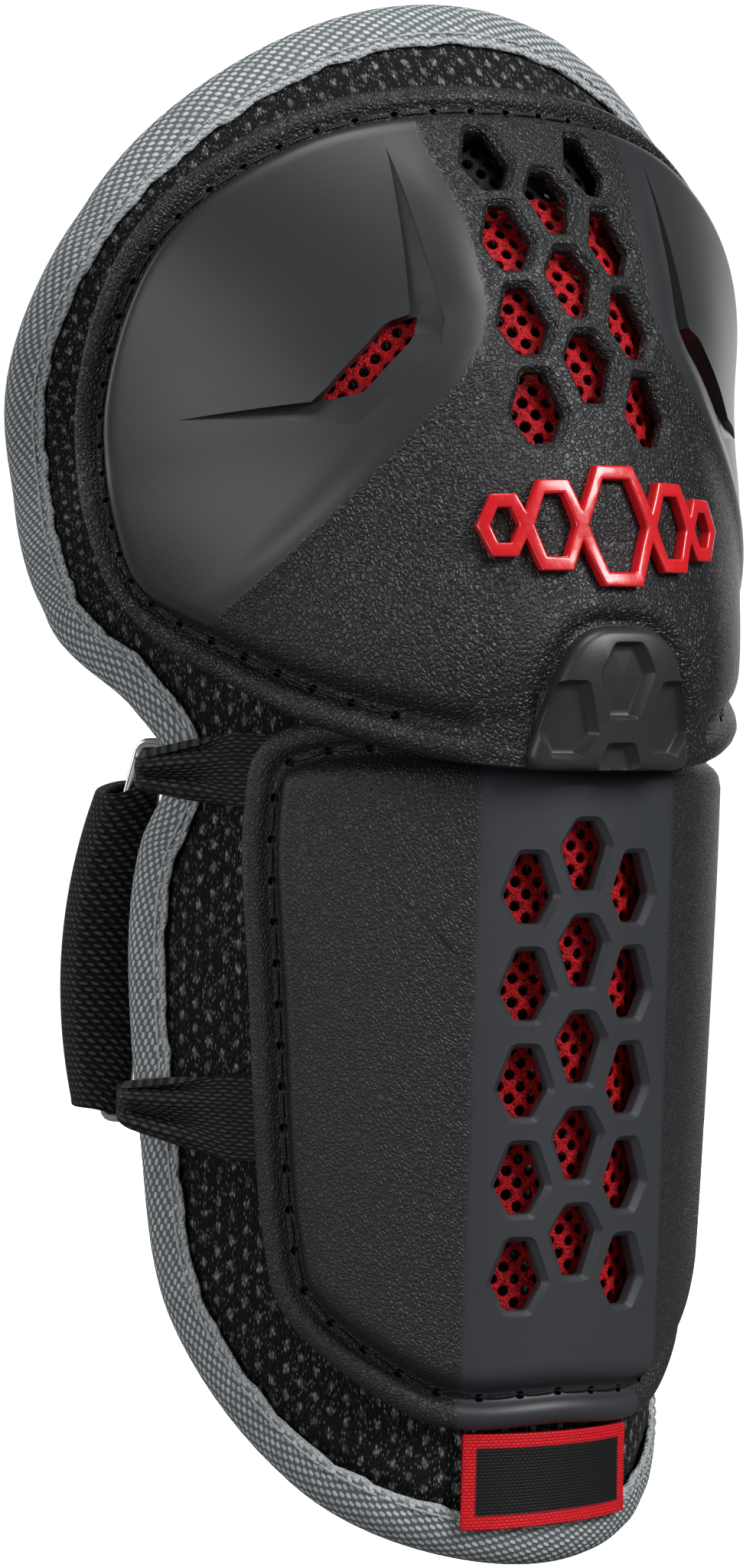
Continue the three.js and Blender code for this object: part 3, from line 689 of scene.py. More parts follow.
def upperFace(u, v):
    border = sorted(upperLook["border"])
    edge = np.interp(v, [p[0] for p in border], [p[1] for p in border])
    fade = smoothStep(v, *crest["foot"]) * (1 - smoothStep(v, *crest["top"]))
    rise = crest["high"] * hump(np.abs(u) - edge - crest["beside"], crest["width"]) * fade
    moat = clip["moat"] * hump(clipDistance(u, v) - clip["moatFrom"], clip["moatWidth"])
    return domeRise(u, v) + rise - moat * smoothStep(v, clip["moatFoot"], clip["moatFull"])


def lowerFace(u, v):
    return lowerPanel["h"] + lowerPanel["crest"] * hump(np.abs(u) - lowerPanel["reach"], lowerPanel["width"])


# Shell rim, from the panel outwards: inset from the rim, share of the panel's height, rise over the rim.
rimRows = [
    (11.5, 1.0, 0.0), (10.6, 1.0, -0.12), (9.8, 0.94, -0.1), (9.0, 0.78, -0.2), (8.2, 0.5, -0.35),
    (7.5, 0.22, -0.7), (6.9, 0.05, -1.0), (6.2, 0.0, -1.15), (5.4, 0.0, -1.15), (4.9, 0.0, -0.85),
    (4.5, 0.0, -0.3), (3.9, 0.0, 0.3), (3.0, 0.0, 0.65), (2.1, 0.0, 0.65), (1.2, 0.0, 0.3),
    (0.5, 0.0, -0.4), (0.1, 0.0, -1.2), (0.0, 0.0, -1.9), (0.25, 0.0, -2.6), (0.9, 0.0, -3.0),
]
shellWall = {"wall": 2.8, "landing": 12.4, "landingEdge": 0.4, "bottom": -3.0, "panelRings": 64,
             "hollowRings": 12, "crowding": 0.9, "fadeAbove": -1.18, "plainRise": 0.3,
             "plainFrom": 2, "plainSpan": 9.5, "sharp": 42}


def shellShape(line, centre, face, rimRise, groove):
    form = shellWall
    rows = [("panel", t, rimRows[0]) for t in np.linspace(0, 1, form["panelRings"]) ** form["crowding"]]
    rows += [("rim", 1, row) for row in rimRows[1:]]
    rows += [("rim", 1, (form["landing"] - form["landingEdge"], 0, form["bottom"]))]
    rows += [("hollow", t, (form["landing"], 0, 0)) for t in np.linspace(1, 0, form["hollowRings"])]
    rings = [inset(line, row[0]) for _, _, row in rows]
    filling = 1 - groove(*line.T)

    def place(row, step):
        flat = np.empty((len(row), 3))
        for index, (kind, t, (depth, share, rise)) in enumerate(rows):
            mine = row == index
            u, v = (centre + t * (rings[index][step[mine]] - centre)).T
            rim, h = rimRise(u, v), face(u, v)
            if kind == "hollow":
                h = h - form["wall"]
            elif kind == "rim":
                # where the stitch groove fades out, the face runs on to the rim
                filled = np.clip((depth - form["plainFrom"]) / form["plainSpan"], 0, 1)
                plain = rim + form["plainRise"] + filled * (h - rim - form["plainRise"])
                h = rim + rise + share * (h - rim)
                if rise > form["fadeAbove"]:
                    h = h + (np.maximum(plain, h) - h) * filling[step[mine]]
            flat[mine] = np.stack([u, v, h], -1)
        return wrap(*flat.T)

    return turned(len(rows), len(line), place)[0]


def loft(corners, rows, face):
    # a closed plug on a flat outline: rows of share of the outline, growth in mm, height over the face
    corners = np.asarray(corners, float)
    middle = corners.mean(0)
    sense = -1 if np.cross(*(np.diff(corners[:3], axis=0))) < 0 else 1

    def place(row, step):
        flat = np.empty((len(row), 3))
        for index, (share, grow, height) in enumerate(rows):
            mine = row == index
            ring = inset(corners, sense * grow)
            point = middle + share * (ring[step[mine]] - middle)
            flat[mine] = np.c_[point, face(*point.T) + height]
        return wrap(*flat.T)

    return turned(len(rows), len(corners), place)[0]


def hexagon(u, v, size, rise=0.0):
    height, halfWidth, halfEnd = size
    top, foot = v + height / 2, v - height / 2
    return np.array([(u - halfEnd, foot), (u + halfEnd, foot), (u + halfWidth, v + rise),
                     (u + halfEnd, top), (u - halfEnd, top), (u - halfWidth, v + rise)])


def rounded(corners, radius, steps=3):
    # the outline with its corners rounded
    bm = bmesh.new()
    face = bm.faces.new([bm.verts.new((*p, 0)) for p in corners])
    bmesh.ops.bevel(bm, geom=face.verts[:], offset=radius, offset_type="OFFSET", segments=steps,
                    profile=0.5, affect="VERTICES", material=-1)
    bm.faces.ensure_lookup_table()
    points = [vert.co.xy[:] for vert in bm.faces[0].verts]
    bm.free()
    return points


# Vents: long hexagons in three columns, each with a chamfer down to a thin lip.
vent = {"size": (12.2, 4.3, 1.75), "sideDrop": 1.2, "middleRise": 1.6, "column": 9.8, "corner": 0.5}
lowerVents = {"count": 5, "middleCount": 5, "pitch": 17, "sideTop": -21, "middleTop": -15.2}
upperVents = {"count": 4, "middleCount": 3, "pitch": 15.5, "sideTop": 108, "middleTop": 99.5}
ventRows = [(0, 0, -9), (1, -0.05, -9), (1, 0, -1.3), (1, 0.08, -1.05), (1, 0.25, -0.9), (1, 0.8, -0.2),
            (1, 0.94, -0.06), (1, 1.0, 0.05), (1, 1.02, 3), (0, 0, 3)]


def ventPlugs(rows, face):
    hexes = []
    for i in range(rows["count"]):
        for side in (-1, 1):
            v = rows["sideTop"] - i * rows["pitch"]
            hexes.append(hexagon(side * vent["column"], v, vent["size"], -vent["sideDrop"]))
    for i in range(rows["middleCount"]):
        hexes.append(hexagon(0, rows["middleTop"] - i * rows["pitch"], vent["size"], vent["middleRise"]))
    return [loft(rounded(corners, vent["corner"]), ventRows, face) for corners in hexes]


# Stitch line: needle holes along the groove, and thread that dips into each of them. A run of thread is
# given by shares of its length and heights there.
stitch = {"pitch": 7.2, "inset": 5.8, "hole": 1.0, "holeSides": 8, "thread": 0.34, "longest": 1.6,
          "holeRows": [(0, 0, -2.6), (1, 0.3, -2.6), (1, 0, -1.35), (1, -0.25, -0.95), (1, -0.4, 1.2),
                       (0, 0, 1.2)],
          "run": [(0, -2.3), (0.1, -1.45), (0.25, -1.05), (0.5, -0.98), (0.75, -1.05), (0.9, -1.45),
                  (1, -2.3)]}


def needlePlaces(line, keep):
    track = closedUp(inset(line, stitch["inset"]))
    spots = evenly(track, round(gaps(track).sum() / stitch["pitch"]))
    return spots[keep(*spots.T)]


def needlePlugs(spots, rimRise):
    angles = np.linspace(0, 2 * math.pi, stitch["holeSides"], endpoint=False)
    ring = np.stack([np.cos(angles), np.sin(angles)], -1) * stitch["hole"]
    return [loft(spot + ring, stitch["holeRows"], rimRise) for spot in spots]


def threadRuns(spots, run, rise, longest=math.inf):
    # from hole to hole, missing where the stitching stops
    share, lift = np.array(run).T
    runs = []
    for a, b in zip(spots, np.roll(spots, -1, 0)):
        if np.linalg.norm(b - a) < longest:
            p = a + share[:, None] * (b - a)
            runs.append(wrap(*p.T, rise(*p.T) + lift))
    return runs


def sewnOn(name, spots, rimRise):
    runs = threadRuns(spots, stitch["run"], rimRise, stitch["longest"] * stitch["pitch"])
    finishPiece(objectOf(tubes(runs, stitch["thread"], name)), blackThread)


# Chevron recess and its slit, right half: u, v and depth of each corner.
chevron = {"corners": [(26, 112, 0.05), (22.3, 78, 0.15), (23.5, 73.5, 0.15), (38, 61, 0.15), (68, 68, 0.05),
                       (45, 66.5, 2.0), (27.5, 80, 2.2)], "low": 0.0, "high": 5.0, "cuts": 5}
slit = {"corners": [(44, 66.8), (40.5, 70.5), (31.5, 79), (26, 80), (27.5, 75.5), (36.5, 66.8)], "round": 1.2,
        "low": -9.0, "high": 6.0, "cuts": 0}
# The cup's groove and stitches stop beside the clip, and its rim is grained all round.
cupRim = {"grooveEnd": (20, 22.5), "stitchEnd": 29, "above": 60, "grainEdge": (7.6, 8.4)}
plateTop = 4  # the plate's stitches stop below this height, under the cup's lip


def flatPlug(corners, side, shape):
    # a plug on a narrow crooked outline; z holds the depth until it is laid on the cup
    low, high = shape["low"], shape["high"]
    bm = bmesh.new()
    bm.faces.new([bm.verts.new((side * u, v, depth)) for u, v, depth in corners])
    bmesh.ops.subdivide_edges(bm, edges=bm.edges[:], cuts=shape["cuts"])
    bmesh.ops.triangulate(bm, faces=bm.faces[:])
    made = bmesh.ops.extrude_face_region(bm, geom=bm.faces[:])
    top = {g for g in made["geom"] if isinstance(g, bmesh.types.BMVert)}
    for vert in bm.verts:
        u, v, depth = vert.co
        vert.co = wrap(u, v, upperFace(u, v) + (high if vert in top else low - depth))
    facesOut(bm)
    return bm


def upperGroove(u, v):
    return np.clip(smoothStep(np.abs(u), *cupRim["grooveEnd"]) + (v > cupRim["above"]), 0, 1)


def upperSewn(u, v):
    return (np.abs(u) > cupRim["stitchEnd"]) | (v > cupRim["above"])


def makeUpperShell():
    bm = shellShape(upperLine, upperCentre, upperFace, upperRimRise, upperGroove)
    piece = objectOf(meshOf(bm, "upper_shell_moulding"))
    combine(piece, joined([loft(clipLine, clip["rows"], domeRise)], "clip"), "UNION")
    plugs = ventPlugs(upperVents, upperFace)
    plugs += [flatPlug(chevron["corners"], side, chevron) for side in (-1, 1)]
    pockets = [rounded(hexagon(u, v, clip["pocketSize"], widest), clip["pocketCorner"])
               for u, v, widest in clip["pockets"]]
    pockets.append(rounded(clip["notch"], clip["notchCorner"]))
    plugs += [loft(corners, clip["pocketRows"], domeRise) for corners in pockets]
    spots = needlePlaces(upperLine, upperSewn)
    plugs += needlePlugs(spots, upperRimRise)
    combine(piece, joined(plugs, "plugs"), "DIFFERENCE")
    # the slits lie in the chevrons, so they are cut after them
    corners = [(u, v, 0) for u, v in rounded(slit["corners"], slit["round"])]
    combine(piece, joined([flatPlug(corners, side, slit) for side in (-1, 1)], "slits"), "DIFFERENCE")
    laid = flatOf(places(piece.data))
    laid[:, 2] = clipDistance(laid[:, 0], laid[:, 1])
    # the grained rim counts as the middle band
    laid[:, 0] *= smoothStep(away(laid[:, 0], laid[:, 1], upperLine), *cupRim["grainEdge"])
    layPattern(piece.data, laid)
    finishPiece(piece, plasticUpper, ["upper_shell"], sharp=shellWall["sharp"])
    sewnOn("upper_shell_stitches", spots, upperRimRise)


def makeLowerShell():
    bm = shellShape(lowerLine, lowerCentre, lowerFace, lowerRimRise, lambda u, v: np.ones(np.shape(u)))
    piece = objectOf(meshOf(bm, "lower_shell_moulding"))
    spots = needlePlaces(lowerLine, lambda u, v: v < plateTop)
    plugs = ventPlugs(lowerVents, lowerFace) + needlePlugs(spots, lowerRimRise)
    combine(piece, joined(plugs, "plugs"), "DIFFERENCE")
    laid = flatOf(places(piece.data))
    laid[:, 2] = shellWall["landing"]
    layPattern(piece.data, laid)
    finishPiece(piece, plasticLower, ["lower_shell"], sharp=shellWall["sharp"])
    sewnOn("lower_shell_stitches", spots, lowerRimRise)


makeUpperShell()
makeLowerShell()


# Pad: foam under spacer mesh, pressed thin at its bound edge, sewn through along both shells' stitch lines.
pad = {"steps": 210, "rings": 30, "face": -0.6, "back": -8.4, "channel": 2.4, "channelWidth": 3.2,
       "sewnShare": 0.6, "flatRise": 0.1, "pressure": 4.0, "frames": 20, "quality": 4, "cap": 1.6,
       "fill": 0.7}
padRows = [(13.5, 0.0, 0), (11.8, -0.15, 0), (10.6, -0.6, 0), (9.8, -1.2, 0), (8.6, -1.4, 0), (2.1, -1.4, 0),
           (2.1, 2.0, 1), (8.6, 2.0, 1), (9.8, 1.6, 1), (10.6, 0.8, 1), (11.8, 0.2, 1), (13.5, 0.0, 1)]
padLine = outline(padEdge, pad["steps"])
sewLines = [inset(line, stitch["inset"])[::3] for line in (upperLine, lowerLine)]


def swell(piece, held):
    # cloth under pressure, held at its edge, under the shells and along the stitch lines
    start = places(piece.data)
    group = piece.vertex_groups.new(name="held")
    for index, weight in enumerate(held):
        group.add([index], float(weight), "REPLACE")
    cloth = piece.modifiers.new("Swell", "CLOTH")
    cloth.settings.vertex_group_mass = "held"
    cloth.settings.use_pressure = True
    cloth.settings.uniform_pressure_force = pad["pressure"]
    cloth.settings.effector_weights.gravity = 0
    cloth.settings.quality = pad["quality"]
    cloth.collision_settings.use_collision = False
    cloth.point_cache.frame_end = pad["frames"]
    for number in range(1, pad["frames"] + 1):
        scene.frame_set(number)
    evaluated = piece.evaluated_get(bpy.context.evaluated_depsgraph_get())
    move = places(evaluated.data) - start
    far = np.linalg.norm(move, axis=1, keepdims=True)
    move *= np.minimum(1, pad["cap"] * mm / np.maximum(far, 1e-9))
    piece.modifiers.clear()
    piece.vertex_groups.clear()
    piece.data.vertices.foreach_set("co", (start + move).astype(np.float32).ravel())
    piece.data.update()
    scene.frame_set(1)


def makePad():
    rows = [(t, padRows[0]) for t in np.linspace(0, 1, pad["rings"])]
    rows += [(1, row) for row in padRows[1:]]
    rows += [(t, padRows[-1]) for t in np.linspace(1, 0, pad["rings"])[1:]]
    rings = [inset(padLine, row[0]) for _, row in rows]
    flat = None

    def place(row, step):
        nonlocal flat
        flat = np.empty((len(row), 3))
        for index, (t, (_, rise, back)) in enumerate(rows):
            mine = row == index
            u, v = (t * rings[index][step[mine]]).T
            if back:
                h = pad["back"] + rise
                if t < 1 or rise < pad["flatRise"]:
                    for line in sewLines:
                        h = h + pad["channel"] * hump(away(u, v, line), pad["channelWidth"])
            else:
                h = pad["face"] + rise + padRise(u, v)
            flat[mine] = np.stack([u, v, np.broadcast_to(h, u.shape)], -1)
        return wrap(*flat.T)

    bm, row, _ = turned(len(rows), pad["steps"], place)
    piece = objectOf(meshOf(bm, "pad_cushion"))
    u, v = flat[:, 0], flat[:, 1]
    edge = (row > pad["rings"] - 2) & (row < pad["rings"] + len(padRows) - 1)
    front = row < pad["rings"]
    covered = front & (within(u, v, inset(upperLine, 1)) | within(u, v, inset(lowerLine, 1)))
    fromSeam = np.minimum(*(away(u, v, line) for line in sewLines))
    sewn = ~front & (fromSeam < pad["channelWidth"] * pad["sewnShare"])
    swell(piece, (edge | covered | sewn).astype(float))
    smoothAndLay(piece)
    finishPiece(piece, padCloth, ["pad_body"])


makePad()


# Binding: a twill tape folded over the pad's edge. Inset and height of each row of its profile.
bindingRows = [
    (9.0, -0.9), (9.15, -0.3), (8.7, 0.1), (7.6, 0.32), (6.0, 0.45), (4.4, 0.4), (3.0, 0.15), (1.8, -0.45),
    (0.8, -1.4), (0.2, -2.7), (0.0, -4.2), (0.2, -5.7), (0.8, -7.0), (1.8, -7.95), (3.0, -8.55), (4.4, -8.8),
    (6.0, -8.85), (7.6, -8.72), (8.7, -8.5), (9.15, -8.1), (9.0, -7.5), (7.6, -7.3), (3.0, -7.1), (1.6, -6.0),
    (1.4, -4.2), (1.6, -2.4), (3.0, -1.3), (7.6, -1.1),
]
# It is wider round the cup, its inner edges wave a little, and its faces puff. A wave is size, count, start.
binding = {"steps": 380, "spread": 0.2, "spreadFrom": (14, 34), "middle": -4.2, "loose": (6, 9),
           "face": (3, 4.4), "wavy": [(0.2, 61, 0), (0.15, 97, 1.3), (0.1, 173, 0)],
           "puff": [(0.12, 43, 0.7), (0.08, 71, 0)]}
bindingStitch = {"pitch": 3.1, "inset": 7.5, "rise": 0.42, "thread": 0.26,
                 "run": [(0, -0.5), (0.15, -0.05), (0.5, 0.1), (0.85, -0.05), (1, -0.5)]}


def makeBinding():
    steps = binding["steps"]
    line = outline(padEdge, steps)
    profile = np.array(bindingRows)
    around = np.arange(steps) / steps * 2 * math.pi
    wider = 1 + binding["spread"] * smoothStep(line[:, 1], *binding["spreadFrom"])
    wavy, puff = (sum(size * np.sin(count * around + start) for size, count, start in binding[key])
                  for key in ("wavy", "puff"))
    inward = inset(line, 1.0) - line

    def place(row, step):
        depth, h = profile[row].T
        depth = (depth + wavy[step] * smoothStep(depth, *binding["loose"])) * wider[step]
        fromMiddle = h - binding["middle"]
        h = h + puff[step] * np.sign(fromMiddle) * smoothStep(np.abs(fromMiddle), *binding["face"])
        point = line[step] + inward[step] * depth[:, None]
        return wrap(*point.T, h)

    bm, row, step = turned(len(profile), steps, place, closed=True)
    mesh = meshOf(bm, "binding_tape")
    length = gaps(closedUp(line)).sum()
    across = travelled(profile)
    corners = np.empty(len(mesh.loops), np.int32)
    mesh.loops.foreach_get("vertex_index", corners)
    along, rows = step[corners].reshape(-1, 4), row[corners].reshape(-1, 4)
    along = np.where((along == 0) & (along.max(1, keepdims=True) > 1), steps, along)
    laid = np.stack([along * length / steps, across[rows], np.zeros(rows.shape)], -1)
    layPattern(mesh, laid, "CORNER")
    finishPiece(objectOf(mesh), tapeCloth, ["edge_binding"])
    track = line + (inset(line, bindingStitch["inset"]) - line) * wider[:, None]
    spots = evenly(closedUp(track), round(length / bindingStitch["pitch"]))
    runs = threadRuns(spots, bindingStitch["run"], lambda u, v: bindingStitch["rise"])
    stitches = objectOf(tubes(runs, bindingStitch["thread"], "binding_stitches"))
    finishPiece(stitches, greyThread)


makeBinding()


# Red net under each shell: a diagonal grid whose cells are opened and rounded.
net = {"cell": 3.0, "strand": 0.46, "thick": 1.0, "inset": 14, "low": 0.9, "turn": 45, "spare": 1.5,
       "holeShare": 0.25}


def makeNet(name, line, node):
    count = int(math.ceil(np.ptp(line, axis=0).max() * net["spare"] / net["cell"] / 2)) * 2
    bm = bmesh.new()
    bmesh.ops.create_grid(bm, x_segments=count, y_segments=count, size=count * net["cell"] / 2)
    turn = math.radians(net["turn"])
    middle = (line.min(0) + line.max(0)) / 2
    for vert in bm.verts:
        x, y = vert.co.x, vert.co.y
        vert.co = (middle[0] + x * math.cos(turn) - y * math.sin(turn),
                   middle[1] + x * math.sin(turn) + y * math.cos(turn), 0)
    edge = inset(line, net["inset"])
    mid = np.array([face.calc_center_median().xy for face in bm.faces])
    outside = ~within(mid[:, 0], mid[:, 1], edge)
    bmesh.ops.delete(bm, geom=[face for face, out in zip(bm.faces, outside) if out], context="FACES")
    bmesh.ops.inset_individual(bm, faces=bm.faces[:], thickness=net["strand"], use_even_offset=True)
    holes = [face for face in bm.faces if face.calc_area() > net["holeShare"] * net["cell"] ** 2]
    bmesh.ops.delete(bm, geom=holes, context="FACES")
    u, v, _ = np.array([vert.co for vert in bm.verts]).T
    moveVerts(bm, wrap(u, v, padRise(u, v) + net["low"]))
    bmesh.ops.recalc_face_normals(bm, faces=bm.faces)
    piece = objectOf(meshOf(bm, name))
    walled(piece, net["thick"])
    smoothAndLay(piece)
    finishPiece(piece, redNet, [node])


makeNet("red_net_upper", upperLine, "vent_mesh_upper")
makeNet("red_net_lower", lowerLine, "vent_mesh_lower")


# Badge: five linked hexagon rings, cut flat, rounded at their edges, then laid on the cup.
badge = {"v": 41.5, "low": 0.1, "high": 2.2, "line": 2.3, "sideLine": 2.0, "endShare": 0.45, "edge": 0.4,
         "rings": [(0, 9.8, 6.8), (9.8, 7.4, 5), (17, 5.2, 4), (-9.8, 7.4, 5), (-17, 5.2, 4)],
         "strip": 1.6, "reach": 12, "past": 1, "flatAngle": 0.02, "rimAngle": 1, "near": 0.01, "sharp": 40}


def hexPrism(u, halfHeight, halfWidth, low, high):
    bm = bmesh.new()
    corners = hexagon(u, badge["v"], (2 * halfHeight, halfWidth, halfWidth * badge["endShare"]))
    face = bm.faces.new([bm.verts.new((*p, low)) for p in corners])
    made = bmesh.ops.extrude_face_region(bm, geom=[face])
    for vert in (g for g in made["geom"] if isinstance(g, bmesh.types.BMVert)):
        vert.co.z = high
    facesOut(bm)
    return bm


def makeBadge():
    piece = None
    for u, high, wide in badge["rings"]:
        ring = joined([hexPrism(u, high, wide, badge["low"], badge["high"])], "badge_rings")
        if piece is None:
            piece = ring
        else:
            combine(piece, ring, "UNION")
    for u, high, wide in badge["rings"]:
        hole = hexPrism(u, high - badge["line"], wide - badge["sideLine"],
                        badge["low"] - badge["past"], badge["high"] + badge["past"])
        combine(piece, joined([hole], "hole"), "DIFFERENCE")
    bm = bmesh.new()
    bm.from_mesh(piece.data)
    bmesh.ops.dissolve_limit(bm, angle_limit=badge["flatAngle"], verts=bm.verts[:], edges=bm.edges[:])
    rims = [e for e in bm.edges if all(vert.co.z > badge["high"] - badge["near"] for vert in e.verts)
            and abs(e.calc_face_angle(0)) > badge["rimAngle"]]
    bmesh.ops.bevel(bm, geom=rims, offset=badge["edge"], offset_type="OFFSET", segments=3, profile=0.5,
                    affect="EDGES", material=-1)
    reach = max(abs(vert.co.x) for vert in bm.verts)
    for axis, middle, half in ((0, 0, reach), (1, badge["v"], badge["reach"])):
        for at in np.arange(middle - half, middle + half, badge["strip"]):
            where, normal = Vector((0, 0, 0)), Vector((0, 0, 0))
            where[axis], normal[axis] = at, 1
            every = bm.verts[:] + bm.edges[:] + bm.faces[:]
            bmesh.ops.bisect_plane(bm, geom=every, plane_co=where, plane_no=normal)
    u, v, h = np.array([vert.co for vert in bm.verts]).T
    moveVerts(bm, wrap(u, v, upperFace(u, v) + h))
    bm.to_mesh(piece.data)
    bm.free()
    finishPiece(piece, vinyl, ["front_badge"], sharp=badge["sharp"])


makeBadge()


# Wire ring just behind the left edge: a straight inner bar for the tabs, a bowed outer one for the strap.
ring = {"wire": 1.1, "h": -10.5, "top": 1.4, "foot": -66.6, "innerTop": -83.4, "innerFoot": -88.4,
        "across": 7, "bow": 4.5, "corner": 2.4, "turn": 75, "steps": 200, "sides": 14, "cornerSteps": 9,
        "bowSteps": 60}
ringTurn = math.radians(ring["turn"])
ringAcross = np.array([-math.cos(ringTurn), math.sin(ringTurn), 0])
ringOff = np.array([-math.sin(ringTurn), -math.cos(ringTurn), 0])


def barAt(v):
    t = (np.asarray(v, float) - ring["top"]) / (ring["foot"] - ring["top"])
    return ring["innerTop"] + (ring["innerFoot"] - ring["innerTop"]) * t


def ringPoint(across, v, off=0.0):
    across, v, off = np.broadcast_arrays(*(np.asarray(x, float) for x in (across, v, off)))
    aside = across[..., None] * ringAcross + off[..., None] * ringOff
    return wrap(barAt(v), v, ring["h"]) + aside * mm


def bezier(a, b, c, count):
    t = np.linspace(0, 1, count)[:, None]
    return np.array(a) * (1 - t) ** 2 + np.array(b) * 2 * t * (1 - t) + np.array(c) * t**2


def makeRing():
    top, foot, wide, bow, corner = (ring[key] for key in ("top", "foot", "across", "bow", "corner"))
    short, far = ring["cornerSteps"], -wide - 2 * bow
    loop = np.concatenate([
        bezier((0, top - corner), (0, top), (-corner, top), short),
        bezier((corner - wide, top), (-wide, top), (-wide, top - corner), short),
        bezier((-wide, top - corner), (far, (top + foot) / 2), (-wide, foot + corner), ring["bowSteps"])[1:],
        bezier((-wide, foot + corner), (-wide, foot), (corner - wide, foot), short)[1:],
        bezier((-corner, foot), (0, foot), (0, foot + corner), short),
        [(0, top - corner)],
    ])
    path = evenly(loop, ring["steps"])
    angles = np.linspace(0, 2 * math.pi, ring["sides"], endpoint=False)

    def place(row, step):
        out = np.stack([inset(path, ring["wire"] * math.cos(a)) for a in angles])
        point = out[row, step]
        return ringPoint(-point[:, 0], point[:, 1], ring["wire"] * np.sin(angles[row]))

    bm = turned(ring["sides"], ring["steps"], place, closed=True)[0]
    finishPiece(objectOf(meshOf(bm, "wire_ring")), chrome, ["strap_ring"])


makeRing()


# Bands: a grid laid along a path, then given its thickness and rounded edges.
bandEdge = {"share": 0.42, "segments": 3, "angle": 50}


def band(name, along, across, place, thickness):
    bm = bmesh.new()
    bmesh.ops.create_grid(bm, x_segments=along, y_segments=across, size=1)
    flat = np.array([vert.co for vert in bm.verts])
    s, t = (flat[:, 0] + 1) / 2, (flat[:, 1] + 1) / 2
    points, laid = place(s, t)
    moveVerts(bm, points)
    bmesh.ops.recalc_face_normals(bm, faces=bm.faces)
    mesh = meshOf(bm, name)
    layPattern(mesh, laid)
    piece = objectOf(mesh)
    walled(piece, thickness)
    edge = piece.modifiers.new("Edge", "BEVEL")
    edge.width, edge.segments = thickness * bandEdge["share"] * mm, bandEdge["segments"]
    edge.angle_limit = math.radians(bandEdge["angle"])
    bakeModifiers(piece)
    return piece


# Webbing tabs: from under the lower shell's rim, gathered over the bound edge and round the ring's inner bar.
tab = {"thickness": 1.5, "start": -54, "startHeight": 0.9, "rim": -61, "h": 1.75, "flatShort": 2.5,
       "bendPast": 1.6, "backEnd": -74, "backHeight": -10.6, "clearance": 0.35, "foldFrom": 147,
       "foldTo": 280, "gather": 1.1, "gatherRise": (0.15, 0.35), "gatherFall": (0.45, 0.58), "ridges": (4, 7),
       "second": 0.3, "steps": 110, "foldSteps": 24, "bendSteps": 20, "across": 26}
tabs = {
    "webbing_tab_upper": {"edge": -82.2, "shell": (4.6, -8.4), "bar": (-0.9, -5.6)},
    "webbing_tab_lower": {"edge": -82.8, "shell": (-56.2, -71), "bar": (-60.2, -65.2)},
}


def makeTab(node, ends):
    bar = float(barAt(sum(ends["bar"]) / 2))
    turn = ring["wire"] + tab["clearance"] + tab["thickness"] / 2
    angles = np.radians(np.linspace(tab["foldFrom"], tab["foldTo"], tab["foldSteps"]))
    fold = np.stack([bar + turn * np.cos(angles), ring["h"] + turn * np.sin(angles)], -1)
    bendStart = (ends["edge"] + tab["flatShort"], tab["h"])
    bendPull = (ends["edge"] - tab["bendPast"], tab["h"])
    bend = bezier(bendStart, bendPull, fold[0], tab["bendSteps"])
    sewn = [(tab["start"], tab["startHeight"]), (tab["rim"], tab["h"])]
    path = np.r_[sewn, bend[:-1], fold, [(tab["backEnd"], tab["backHeight"])]]
    path = evenly(path, tab["steps"], closed=False)
    length = gaps(path).sum()
    (shellTop, shellFoot), (barTop, barFoot) = ends["shell"], ends["bar"]
    width = shellTop - shellFoot

    def place(s, t):
        index = np.rint(s * (tab["steps"] - 1)).astype(int)
        u, h = path[index].T
        near = np.clip((u - tab["rim"]) / (bar - tab["rim"]), 0, 1)
        top = shellTop + (barTop - shellTop) * near
        foot = shellFoot + (barFoot - shellFoot) * near
        v = foot + (top - foot) * t
        lean = barAt((top + foot) / 2) - bar
        # gathers rise towards the bend and die out round the bar
        puckered = smoothStep(s, *tab["gatherRise"]) * (1 - smoothStep(s, *tab["gatherFall"]))
        first, second = (t * ridges * math.pi for ridges in tab["ridges"])
        gathers = tab["gather"] * puckered * (np.sin(first) - tab["second"] * np.cos(second))
        return wrap(u + lean * near, v, h + gathers), np.stack([s * length, t * width, 0 * s], -1)

    name = node.replace("webbing_tab", "tab_webbing")
    piece = band(name, tab["steps"] - 1, tab["across"], place, tab["thickness"])
    finishPiece(piece, webbingCloth, [node])


for node, ends in tabs.items():
    makeTab(node, ends)


# Elastic strap: on the right margin, round the arm, round the ring's outer bar and back on itself.
strap = {"thickness": 2.0, "top": -2.5, "foot": -61.7, "backDepth": 38, "foldClearance": 1.8, "overlap": 0.62,
         "rightStart": 61, "rightEnd": 84, "marginHeight": 2.1, "layerGap": 0.35, "closeShare": 0.7,
         "along": 420, "across": 40, "innerRise": 4.0, "innerDrop": 4.5, "outerDip": 2.2, "flare": 0.12,
         "ease": 4.2, "bulge": 1.6, "marginSteps": 6, "backSteps": 120, "foldSteps": 20, "outerSteps": 60}


